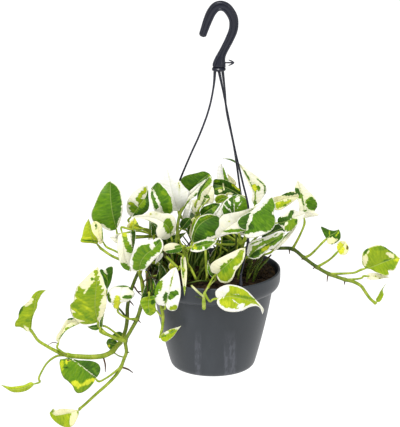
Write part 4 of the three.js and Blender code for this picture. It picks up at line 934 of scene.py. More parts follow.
leaf("centre_low", "crown_front", 4,
     rib=[(192.5, 247, 54), (201, 245.3, 58), (210, 243.3, 60), (216.8, 241.3, 62)],
     left=[(193.5, 243.5), (199, 241.2), (206, 239.5), (212.5, 239.8)],
     right=[(190.3, 250.5), (196, 252.2), (203.5, 250.8), (209.5, 248.4), (214, 244.7)], rim=(1.2, 1.6),
     tone=0.34, cream=0.1,
     marks=[(194.7, 247, 1.8, 3, 0, 0.9), (197, 251.3, 8, 1.3, 0, WHITE), (206.5, 247.8, 1.6, 1.4, 0, 0.2),
            (199.5, 244, 2.6, 1.6, -10, 0.15), (203.5, 248, 1.3, 1.6, 0, WHITE)])
leaf("centre_upper", "crown_right", 4, rib=[(234.5, 212.8, 26), (234.2, 205, 27), (232.7, 195.3, 20)],
     left=[(229, 214.7), (223, 215.5), (221.2, 210), (222.8, 203.5), (227.5, 198.6)],
     right=[(241, 212.2), (247.3, 210.7), (247.9, 204), (245.8, 198.3), (239.5, 194.8)], rim=(1.5, 0.6),
     tone=(0.16, 0.3), cream=0.0,
     marks=[(237.8, 198.6, 2.6, 3.4, 25, WHITE), (229, 202, 0.9, 4.6, -27, WHITE),
            (232.6, 200, 0.8, 4.5, 0, 0.1), (234.2, 208, 0.6, 5.5, 0, WHITE),
            (225.8, 206.5, 0.6, 4.2, -38, WHITE), (230.5, 211, 0.5, 3.2, -30, WHITE),
            (239.5, 205, 0.5, 4, 35, WHITE)])
leaf("centre_white", "crown_right", 4,
     rib=[(216, 239, 54), (226, 229, 58), (240, 219.5, 58), (262, 204.5, 50)],
     left=[(215.3, 232), (219, 226), (219.3, 219), (222.5, 215.3), (231, 213), (240, 211.3), (250, 208.3),
           (257, 205.3)],
     right=[(223, 236), (231, 233.9), (240, 232.9), (250, 228), (258, 215), (262, 208.5)], lift=(0.2, 0.15),
     rim=ALL_WHITE, cream=0.3,
     marks=[(235, 230.6, 12.5, 1.7, -3, 0.36), (229, 221.5, 1, 0.8, 0, BROWN),
            (220.3, 216.2, 0.9, 0.9, 0, BROWN), (256, 207.5, 7, 0.5, -28, 0.5)])
leaf("right_pointed", "crown_right", 3,
     rib=[(247.3, 230.3, 66), (249.2, 220.5, 68), (253.5, 213.5, 66), (262, 206.8, 62), (272.5, 196.8, 56)],
     left=[(242, 229.4), (238, 226), (236.7, 222.3), (239.5, 217.8), (246, 214), (251, 211.3),
           (256, 206.8), (263, 202.3), (268, 198.3)],
     right=[(244.3, 233), (245.5, 237), (251, 238.2), (259, 236.5), (266, 233.9), (271.5, 230.5),
            (275.1, 225), (275.6, 219), (273.8, 213.3), (275.6, 207), (274.1, 201)], lift=(0.2, 0.05),
     rim=(1.0, 0.8), tone=(0.12, 0.26), cream=0.1,
     marks=[(249.7, 220.5, 1.9, 11, 17, WHITE), (257.5, 208.5, 9, 2.4, -38, WHITE),
            (266, 202, 5, 1.2, -48, WHITE), (257, 234.9, 15, 3.1, -8, WHITE),
            (273, 213.5, 1.2, 1.6, 0, WHITE), (251.5, 226.5, 3, 3.2, 0, 0.1),
            (273, 230, 3.2, 1.4, -50, WHITE)])
leaf("right_front_long", "crown_right", 1,
     rib=[(247.5, 256.8, 46), (256, 250.5, 50), (266, 244.7, 48), (276, 238.7, 42), (285, 233, 34)],
     left=[(246.2, 251), (246.8, 245), (252, 241), (259, 238.3), (266, 236.3), (272, 233.8), (278, 231.2),
           (283, 230.9)],
     right=[(252, 259.2), (258.5, 258.4), (263, 254.7), (268.5, 250.7), (274, 247.4), (279.5, 242.7),
            (283.5, 237.6)], lift=(0.25, 0.05), rim=(2.0, 1.5), tone=(0.4, 0.32), cream=0.1,
     marks=[(257, 243.5, 6, 1.2, -25, WHITE), (268.5, 238, 6, 1.1, -25, WHITE),
            (277, 235.3, 4, 1, -30, WHITE), (261, 247, 6, 0.8, -30, WHITE), (251, 248, 1, 4, 15, WHITE),
            (265.5, 248.3, 5.5, 2.0, -32, 0.9), (256.3, 253.3, 6, 2.2, -34, 0.08),
            (266.5, 245.3, 1.5, 0.8, 0, 0.1), (272.8, 242, 2.8, 1.1, -32, 0.12),
            (271, 247.4, 3, 1.2, -35, WHITE), (281, 238.5, 3, 0.8, -45, 0.15),
            (248.3, 250, 1.8, 7, 5, WHITE)])
leaf("right_white_up", "crown_right", 4,
     rib=[(254.5, 205.5, -14), (255, 196, -17), (251.5, 186, -22), (246, 175.5, -28), (239.5, 165, -36),
          (231.5, 160, -40), (222.3, 158.2, -43)],
     left=[(251.5, 200), (252.3, 193), (249.6, 186.5), (246.2, 179), (243, 172), (239, 166),
           (231.3, 160.9)],
     right=[(259, 203), (262.5, 198), (266.2, 192), (266.3, 187), (262.5, 181), (256, 175.5), (249, 170.3),
            (243.5, 166.5), (240, 164), (231.8, 159.1)], rim=ALL_WHITE, cream=0.35,
     marks=[(258.6, 188.3, 1.8, 3.2, 0, 0.3), (255.3, 195.5, 0.8, 7, 3, 0.5),
            (247, 175.5, 0.9, 7, -32, 0.2), (254.8, 203, 2, 2.6, 0, 0.25),
            (251.5, 185.5, 0.6, 6, -25, 0.35), (231, 160, 9.5, 2.2, 22, 0.15),
            (264.9, 189.5, 0.9, 4.8, 0, 0.12), (260.5, 181.7, 0.8, 4.5, -48, 0.18),
            (254.5, 187, 2.2, 4, -20, 0.95)])
leaf("right_yellow", "crown_right", 4,
     rib=[(271, 203, 14), (280, 200.5, 17), (290, 197.5, 14), (299, 196.3, 6)],
     left=[(273, 197.8), (281, 195.3), (287, 192.5), (293, 191.3), (297, 192.8)],
     right=[(272.5, 209), (279.5, 210.2), (286.5, 206.5), (293, 201.9), (297.5, 198.5)], rim=ALL_WHITE,
     cream=0.9,
     marks=[(289.5, 193.9, 8, 1.7, -6, 0.08), (280.5, 204.5, 6.5, 3.2, -17, 0.66),
            (284.8, 205.3, 2, 1.1, -30, 0.3), (278.5, 203, 1.8, 1.4, 0, 0.9),
            (287.6, 199.6, 0.9, 0.7, 0, 0.2), (288, 202, 3.5, 1.6, -27, 0.8)])
leaf("right_mid", "crown_right", 3,
     rib=[(277.5, 223, 24), (286, 221.3, 27), (295, 217.3, 23), (306, 213, 14)],
     left=[(278, 218.3), (284, 214.7), (289, 210.7), (293, 209.5), (298, 211.3), (303, 211.3)],
     right=[(282, 227.7), (286.5, 232), (291, 230.2), (296, 226), (300, 221.7), (304, 217.2)],
     rim=ALL_WHITE, cream=0.3,
     marks=[(283, 221, 7.5, 4.2, -10, 0.12), (290.6, 214.5, 2.3, 5.2, 28, 0.16),
            (290.8, 225, 4.6, 7.5, 38, 0.44), (296.4, 221, 1.1, 2.4, 0, 0.1),
            (279.3, 214.6, 2.8, 2.4, 0, 0.33), (286, 224, 1.2, 3, 40, WHITE)])
leaf("right_top", "vine_right", 4,
     rib=[(304.2, 218.5, -8), (303.5, 208, -6), (301, 196, -8), (297.5, 180.3, -12)],
     left=[(300, 217), (299, 211), (299.3, 205), (297.3, 199), (294.8, 192), (295.4, 185.5)],
     right=[(309, 217.3), (315, 216.3), (319, 215), (314.7, 211.5), (317.4, 206.5), (316.7, 201.5),
            (313, 195.6), (308, 190.3), (302, 183.7)], rim=ALL_WHITE, cream=0.5, stalk=1.1,
     via=[(299.5, 236, -9)],
     marks=[(297.8, 192.3, 2.3, 5.2, -22, 0.14), (302.3, 199, 1, 7, -14, 0.2),
            (311.7, 203.9, 5.4, 6.9, -20, 0.2), (308, 199.5, 0.8, 5, 38, 0.5),
            (304.5, 211, 3.5, 0.7, -25, 0.35), (300.5, 196.5, 2.5, 2, 0, 0.35)])
leaf("back_tall", "crown_back", 4, rib=[(226, 187, -42), (223.3, 178, -44), (221.5, 163.5, -50)],
     left=[(219.5, 184), (217.2, 178.5), (217.2, 171), (218.8, 165.5)],
     right=[(229, 182), (226.7, 176), (224.5, 169.5)], rim=(ALL_WHITE, 0.2), tone=0.35, cream=0.0)
leaf("back_flat", "crown_back", 4,
     rib=[(241, 195.5, -22), (232, 190, -19), (224, 186.5, -19), (213, 184, -22)],
     left=[(236, 196.2), (230, 195), (224, 194.3), (218, 195.5), (214, 194), (212.6, 189)],
     right=[(240, 189.6), (236, 186.5), (232, 183), (226, 180), (220, 179), (214, 179.5)], rim=(0.2, 0.3),
     tone=0.08, cream=0.9, via=[(224, 214, -26)],
     marks=[(229, 193.7, 3.4, 1.4, 0, WHITE), (220, 191, 2.4, 1.8, 0, WHITE),
            (218.5, 188.5, 5, 0.9, -8, 0.6), (216.3, 181.2, 3.6, 1.2, 0, 0.4),
            (236.5, 187.7, 6, 1.3, 36, 0.88), (223.6, 187, 0.7, 4, -8, WHITE)])
leaf("vine_right_folded", "vine_right", 5,
     rib=[(326.3, 239, -10), (330, 235.5, -14), (335, 233, -20), (339, 229.3, -26)],
     left=[(323.8, 234.5), (321, 226.6), (325, 227.8), (329, 229.6), (334, 230.6)],
     right=[(327.5, 243), (332, 244.5), (337, 242.2), (340.2, 239), (340.6, 233.5)], lift=0.3, rim=0.1,
     tone=0.13, cream=0.9, stalk=1.1, via=[(310, 255, -10)],
     marks=[(331, 240.7, 6.3, 3.3, -5, WHITE), (329.3, 233.5, 0.6, 3, 0, 0.75),
            (337.3, 234, 0.7, 2.8, 38, 0.85)])
leaf("vine_right_yellow", "vine_right", 6,
     rib=[(337.8, 251.5, -6), (340.5, 248.5, -10), (344, 244.5, -13), (345.5, 241.4, -16)],
     left=[(336.8, 247), (337.4, 243), (340.5, 240.8)],
     right=[(340.5, 254.7), (345, 255), (348.2, 251.5), (348.7, 247)], rim=ALL_WHITE, cream=1.0, stalk=1.1,
     via=[(329, 260, -8)], marks=[(340.6, 248.5, 3.8, 6, 0, 1.1), (347.2, 247.8, 1.1, 2.6, -10, BROWN)])
leaf("vine_right_big", "vine_right", 7,
     rib=[(365.5, 268.5, -12), (374, 266, -11), (383, 262.3, -12), (391, 259.5, -15), (400, 258.2, -18)],
     left=[(362.2, 264), (361.9, 257), (362.8, 252.6), (366, 249.3), (371, 246.8), (377.5, 245),
           (383.5, 246.1), (389, 249.8), (394.5, 253.6)],
     right=[(370.5, 269.4), (376, 272.4), (381.5, 274.5), (386, 276), (389.4, 274.5), (388, 270.9),
            (393.5, 270.6), (396.6, 266.5), (398.4, 262)], lift=(0.2, 0.1), rim=(0.9, 1.0), tone=0.56,
     cream=0.9, wave=1.6, stalk=1.1, via=[(344, 273.5, -8), (355, 272.5, -9)],
     marks=[(365.3, 259.5, 2.4, 7, 6, WHITE), (368.3, 251.5, 0.8, 3.2, 28, WHITE),
            (365.8, 251.5, 1.7, 3.2, 32, 0.15), (390, 255, 5, 2.1, 28, WHITE),
            (397.3, 259.5, 3, 2.4, 0, 0.95), (379.5, 248.3, 5.5, 2.3, 3, 0.42),
            (392, 267, 4, 2.6, 0, 0.45), (386, 260.3, 4, 0.9, -15, 0.2), (391, 251, 8, 0.9, 32, 0.12)])
leaf("vine_right_end", "vine_right", 14,
     rib=[(376.4, 302, -4), (379.5, 297.5, -4), (381.7, 291, -5), (386.6, 282.5, -6)],
     left=[(375.8, 299), (378, 295.5), (380.3, 291)],
     right=[(379.7, 302), (382.6, 298), (383.8, 294.5), (382.9, 290)], lift=0.6, rim=0.2, tone=0.58)
leaf("vine_left_big", "vine_left_low", 9,
     rib=[(98, 322, 42), (95.7, 312, 47), (95, 302, 50), (96, 290, 52), (97, 278, 52), (97.7, 266.8, 50)],
     left=[(94, 323.7), (88, 324.5), (82, 324.3), (76.5, 321.2), (72.5, 316.5), (70.2, 310), (69.9, 305),
           (73.2, 301.5), (74, 296), (75.3, 291.5), (76.8, 287), (82, 281.3), (88, 275.3), (93, 270.8)],
     right=[(101, 318.7), (104.2, 313), (106.4, 305), (106.5, 296), (105.5, 288), (103.6, 281),
            (101, 274.3), (98.9, 269.3)], lift=(0.0, 0.45), rim=(0.9, 1.6), fray=4.5, tone=0.54, cream=0.8,
     wave=1.4, stalk=1.6, via=[(115, 338, 40), (104, 332, 42)],
     marks=[(87, 281.5, 5.6, 9.5, 42, WHITE), (101.8, 279.5, 2.1, 9, -12, WHITE),
            (103, 307, 3.2, 13, 10, WHITE), (99.5, 318, 1.8, 5, 22, WHITE), (85.7, 291, 1, 4.4, 35, WHITE),
            (72.3, 299.5, 1.6, 3, 0, WHITE), (75.5, 306, 5.5, 2.4, 38, 0.42), (85, 314, 9, 2, 36, 0.45),
            (89, 318.8, 6, 1.2, 22, 0.38), (90.5, 292.5, 4.6, 3.6, 0, 0.42), (82, 300.8, 7, 1.2, 30, 0.74),
            (88, 308.5, 6, 1.3, 32, 0.8), (78, 312, 7, 0.9, 38, 0.8), (92, 279, 1.5, 1.5, 0, 0.35),
            (80, 292.5, 4, 2, 15, 0.45)])
leaf("vine_left_striped", "vine_left_out", 5,
     rib=[(107, 290, 28), (107.3, 282, 27), (107, 275, 24), (106, 268.8, 20)],
     left=[(104.6, 284), (102.7, 277.5), (99.7, 270.2), (101.5, 269), (104, 270.5)],
     right=[(110.3, 284), (112.3, 277), (113.2, 271), (112.6, 266.6), (108.5, 266.8)], rim=(0.1, 0.5),
     tone=0.12, via=[(117, 293, 28)],
     marks=[(105.3, 271.3, 1.4, 3.6, -28, WHITE), (106, 277.5, 0.5, 4, -30, 0.6)])
leaf("vine_left_arched", "vine_left_low", 7,
     rib=[(118.5, 308, 46), (120, 298, 53), (121.3, 291, 49), (123, 285.2, 36)],
     left=[(115, 309.5), (112, 304), (108.3, 301.5), (107.1, 296), (109.5, 290), (114.5, 286.4)],
     right=[(121, 303), (127, 302), (131.7, 298.7), (134.7, 294), (132, 289.2), (128, 286)], lift=-0.2,
     rim=ALL_WHITE, cream=0.2, bulge=0.25, via=[(128, 318.5, 42)],
     marks=[(117, 302.5, 3.4, 7, 8, 0.96), (127.5, 297, 5, 2.4, -5, 0.17), (123, 286, 6.5, 1, 0, 0.28),
            (108.9, 297.5, 1.5, 7.5, -12, 0.2), (131.5, 288.5, 2, 3, -40, 0.1)])
leaf("vine_left_end", "vine_left_out", 20,
     rib=[(31, 331, 29), (31.2, 323, 31), (33, 314, 33), (35, 305, 35), (35.7, 298, 36), (39.3, 292.5, 37),
          (46.5, 289.8, 36)],
     left=[(27, 331.5), (23.5, 328.7), (19.5, 327), (15.1, 326.5), (15.3, 322), (18.2, 318), (18.6, 313.5),
           (21, 307.8), (25.5, 303.8), (30, 299.3), (33, 294.5), (38, 290.6)],
     right=[(31.7, 326), (32.3, 319.5), (34.2, 313.5), (37.2, 307), (37.7, 302.5), (39.6, 298.5),
            (41.7, 294.5)], lift=(0.05, 0.4), rim=(0.3, 0.2), tone=0.58, cream=0.8, wave=1.2,
     marks=[(26.5, 328.5, 1.5, 4.2, -40, WHITE), (29, 302.3, 5.4, 2.5, -42, WHITE),
            (20.8, 309.7, 1.5, 5.2, 22, 0.1), (28, 320.5, 2.5, 1.5, 0, 0.42), (28, 315.5, 3, 0.9, 0, 0.7)])
leaf("vine_left_narrow", "vine_left_out", 15,
     rib=[(58.5, 343, 31), (61.5, 333.5, 33), (66.5, 325.5, 32), (72.5, 322, 30), (80, 323.8, 28)],
     left=[(56.2, 340), (56.8, 335.5), (61, 329.3), (64, 323.3), (68, 318.7), (72.7, 317.8)],
     right=[(60, 340), (62.8, 335), (66.3, 330.7), (71, 327.7), (76, 325.5)], lift=(0.4, 0.7),
     rim=ALL_WHITE, cream=0.75, via=[(64, 353.2, 30), (59.8, 350.2, 31)],
     marks=[(70, 318.8, 3.6, 0.9, -8, 0.12), (64.5, 332.5, 0.7, 9, 42, 0.25),
            (72, 327, 3.5, 0.8, -30, 0.3), (67, 328.5, 2.2, 1.4, -40, 0.5)])
leaf("vine_left_curl", "vine_left_out", 11,
     rib=[(118.3, 343.5, 16), (114, 344.3, 15), (110, 343.5, 12), (106.2, 343, 9)],
     left=[(116.7, 348), (112.5, 350.5), (108.5, 348)],
     right=[(116, 340.5), (112.5, 338.8), (109, 338.6), (107, 340.5)], lift=0.2, rim=0.1, tone=0.2,
     marks=[(109, 346, 1.5, 1.2, 40, 1.0), (112, 341, 2, 1, -30, 0.42), (113.5, 347.5, 2, 1, -40, 0.5)])
leaf("vine_left_patch", "vine_left_low", 12,
     rib=[(95.3, 378.3, 37), (89.5, 373, 40), (83, 366.8, 41), (77, 362, 41), (69, 359.7, 40),
          (60.3, 359.1, 39)],
     left=[(94.5, 381.5), (91.5, 385.5), (87.5, 389.5), (82, 392.7), (77.5, 393.2), (74.6, 390.5),
           (72.8, 386.5), (68.3, 381.7), (63.8, 378), (61.4, 373.5), (60.1, 368), (59.4, 362.5)],
     right=[(98, 376), (100.3, 371), (100.1, 366.5), (97.3, 363), (92, 361), (85, 360.3), (78, 360),
            (70, 358.1)], lift=(0.15, 0.2), rim=0.1, tone=(0.34, 0.16),
     via=[(113.5, 373, 34), (106, 378.2, 34)],
     marks=[(76.5, 384.3, 5.8, 3.1, 30, 1.0), (87.3, 382.3, 6.3, 2.3, -32, 1.0),
            (92.5, 380, 2.6, 2, 0, 0.98), (82, 389.7, 6.5, 2.6, -28, 0.4),
            (83, 367.3, 15.5, 0.55, 37, WHITE), (62, 365.5, 1.9, 6, 0, 0.78),
            (66.7, 362.7, 1.4, 2.3, 0, 0.95), (66, 367.6, 2.4, 0.7, 0, 0.02), (95, 371, 1.3, 4, -30, 0.3),
            (68, 360.4, 2, 0.9, 0, BROWN)])
leaf("vine_low_end", "vine_left_low", 17,
     rib=[(79, 410, 31.5), (72, 412.3, 32), (63, 414.3, 28), (55.5, 414.8, 21), (51, 411, 12)],
     left=[(78.5, 415), (76, 421), (73, 425.5), (67.5, 427.7), (60.5, 425.5), (54.5, 421.2), (51, 417),
           (49.5, 413)], right=[(75, 409.6), (68, 408.8), (60, 408.8), (56, 410.3), (53.5, 408.4)],
     lift=(0.2, 0.4), rim=(0.2, ALL_WHITE), tone=0.6, cream=0.9,
     marks=[(73.7, 418.5, 3.7, 8.5, 14, WHITE), (52.3, 410.8, 2, 2.3, 0, 0.55), (67, 420, 1.6, 6, 5, 0.7)])
leaf("vine_rolled", "vine_left_out", 15,
     rib=[(34.8, 383.8, 30), (26, 387.2, 32), (15, 389.3, 32), (8, 389, 30), (0.5, 384.6, 28)],
     left=[(31.5, 387.5), (26, 391), (19, 392.5), (12, 392)],
     right=[(31, 382), (24, 384.8), (17, 386), (11, 386.6)], lift=-0.7, rim=0.1, tone=0.72, wave=0.2,
     via=[(57, 356, 28), (48, 362, 29), (42, 371, 30), (38.8, 378.8, 30)])
leaf("shoot_small", "shoot_hanging", 8,
     rib=[(160.6, 337, 57), (166, 334.5, 60), (172, 331.8, 61), (181.3, 325.8, 60)],
     left=[(161.5, 334.3), (165.5, 331.7), (170, 329.3), (175.5, 327.8)],
     right=[(161.5, 340.2), (165, 341.9), (170, 339.4), (174.5, 335.1), (177.5, 330.5)], rim=0.3, tone=0.66,
     cream=0.3,
     marks=[(163.5, 336.2, 2.8, 0.9, -20, 0.2), (172.3, 331.8, 2.8, 1.3, -35, 0.35),
            (166.5, 332.7, 2.6, 1.5, -28, WHITE), (178, 328, 3, 1, -28, WHITE)])

# Plain leaves

leaf("rear_left", "crown_back", 3, rib=[(168, 226, -44), (158, 228, -62), (148, 240, -84)], width=33,
     rim=(2, 1), tone=0.2)
leaf("rear_centre", "crown_back", 4, rib=[(203, 216, -52), (199, 222, -74), (196, 238, -96)], width=36,
     rim=(6, 3), tone=0.28)
leaf("rear_right", "crown_back", 3, rib=[(243, 222, -58), (256, 223, -71), (268, 236, -84)], width=33,
     rim=(1, 3), tone=0.24)
leaf("inner_curl", "crown_left", 3, rib=[(154, 234.5, 25), (153.8, 228, 27), (150, 221.5, 25)], width=6.5,
     lift=0.5, tone=0.12)
leaf("back_small", "crown_back", 4, rib=[(234, 185, -48), (231, 180, -49), (227, 173, -52)], width=6.5,
     rim=ALL_WHITE, cream=0.8)
leaf("left_yellow", "crown_left", 4, rib=[(132.5, 230, 10), (133.5, 224, 12), (134.5, 217, 8)], width=12.5,
     rim=(2.5, 0.2), tone=0.95, cream=1.0, marks=[(137.8, 222.5, 0.8, 3.8, 25, 0.1)])
leaf("left_fold", "crown_left", 4, rib=[(133.2, 231, 33), (132.8, 242, 36), (132.3, 254.5, 35)], width=5.5,
     lift=0.5, tone=0.03, marks=[(130.6, 238, 1.0, 6, 0, WHITE)])
leaf("left_curl", "crown_left", 4, rib=[(119, 238.6, 28), (115, 238.4, 31), (110, 237.6, 28)], width=9.5,
     lift=0.4, rim=ALL_WHITE, cream=0.2,
     marks=[(113.5, 233.4, 3, 0.8, -5, 0.1), (110, 237, 0.8, 2.6, 0, 0.2)])
leaf("small_white", "crown_front", 3, rib=[(161, 253, 50), (158.5, 258, 53), (155, 264.3, 52)], width=6,
     rim=ALL_WHITE, cream=0.1)
leaf("lime_bit", "crown_front", 2, rib=[(172.5, 269.5, 52), (171.5, 265, 55), (172, 260.6, 54)], width=6.5,
     tone=0.95)
leaf("front_curl", "shoot_front", 1, rib=[(214.5, 276.5, 60), (209.7, 270, 62), (208, 260.5, 58)],
     width=5.2, lift=0.5, tone=0.25)
leaf("right_narrow", "crown_right", 2,
     rib=[(274, 249, 20), (281, 242, 23), (288.5, 235, 22), (297, 225.5, 16)], width=5.2, rim=ALL_WHITE,
     cream=0.35, marks=[(283, 238.5, 0.6, 9, 45, 0.3)])
leaf("vine_right_low", "vine_right", 9, rib=[(368.5, 276.3, -13), (378, 276.5, -15), (390, 277.4, -17)],
     width=7, rim=ALL_WHITE, cream=0.7, via=[(353, 279.3, -6), (362, 277.8, -10)],
     marks=[(375.5, 276.2, 0.9, 0.7, 0, BROWN), (379.5, 278.5, 0.8, 0.6, 0, BROWN)])
leaf("sheath", "crown_front", 2, rib=[(183.2, 259, 52), (184.3, 278, 64), (184.6, 296, 76)], width=6,
     lift=0.7, rim=(ALL_WHITE, 1.2), tone=0.4, cream=0.7,
     marks=[(184.3, 289.5, 1.4, 4, 5, 0.6), (184.5, 294.8, 2.4, 1.4, 0, 0.75), (183, 272, 1, 5, 0, 0.35)])
# The deep leaves below sit inside the crown, and their darkest green is painted shade.
leaf("deep_mid", "crown_left", 2, rib=[(156, 251, 14), (168, 243, 16), (187, 232, 12)], width=17, tone=0.04)
leaf("deep_upper", "crown_right", 2, rib=[(222, 241, 16), (235, 239.5, 18), (250, 241, 16)], width=15,
     tone=0.03)
leaf("deep_left", "crown_left", 1, rib=[(166, 268, 4), (158, 256, 8), (151, 244, 8)], width=19, tone=0.04)
leaf("deep_centre", "crown_front", 1, rib=[(197, 268, -14), (199, 253, -10), (205, 238, -8)], width=27,
     tone=0.03)
leaf("deep_right", "crown_right", 1, rib=[(216, 266, -8), (229, 252, 0), (246, 240, 4)], width=24,
     tone=0.04)
leaf("deep_back", "crown_front", 1, rib=[(176, 262, -12), (180, 250, -10), (176, 238, -8)], width=16,
     tone=0.05)
leaf("low_dark", "vine_left_low", 3, rib=[(146, 300, 50), (150.5, 286, 53), (147, 268, 47)], width=13,
     lift=0.3, tone=0.02, marks=[(153, 288, 1.2, 6, 10, 0.5)])
leaf("low_olive", "crown_left", 0, rib=[(158, 282, 40), (162, 272, 42), (158, 262, 38)], width=10, lift=0.4,
     tone=0.06)
leaf("vine_left_bud", "vine_left_low", 9, rib=[(100.8, 327, 44), (101.8, 320, 46), (104.8, 313, 46)],
     width=4, lift=0.5, tone=0.1)
leaf("vine_left_small", "vine_left_low", 9, rib=[(99, 326.8, 40), (93, 327.6, 41), (86.8, 326.6, 38)],
     width=6.2, lift=0.3, tone=0.12)
leaf("vine_curl_upper", "vine_left_out", 9, rib=[(123.3, 338.5, 18), (117, 335.6, 20), (109.3, 337.4, 17)],
     width=9.5, lift=(0.4, 0.2), tone=0.16,
     marks=[(119.3, 336.8, 2.2, 1.2, 0, 0.75), (115, 337.6, 2, 0.9, 10, 0.5)])

# How far along a plain leaf each point of its margin lies, and how far out, in shares of length and width
PLAIN_HALF = [(-0.06, 0.3), (0.04, 0.45), (0.26, 0.5), (0.52, 0.41), (0.78, 0.2)]

# Stems. Each point of a route is a picture point with its nearness, and leaves name the one that they grow
# from. radius and age are spread evenly along the route, and the ages are those of the stem material. Twigs
# have a radius, an age and a route, and aerial roots are twigs of the age ROOT.

ROOT = 2.0

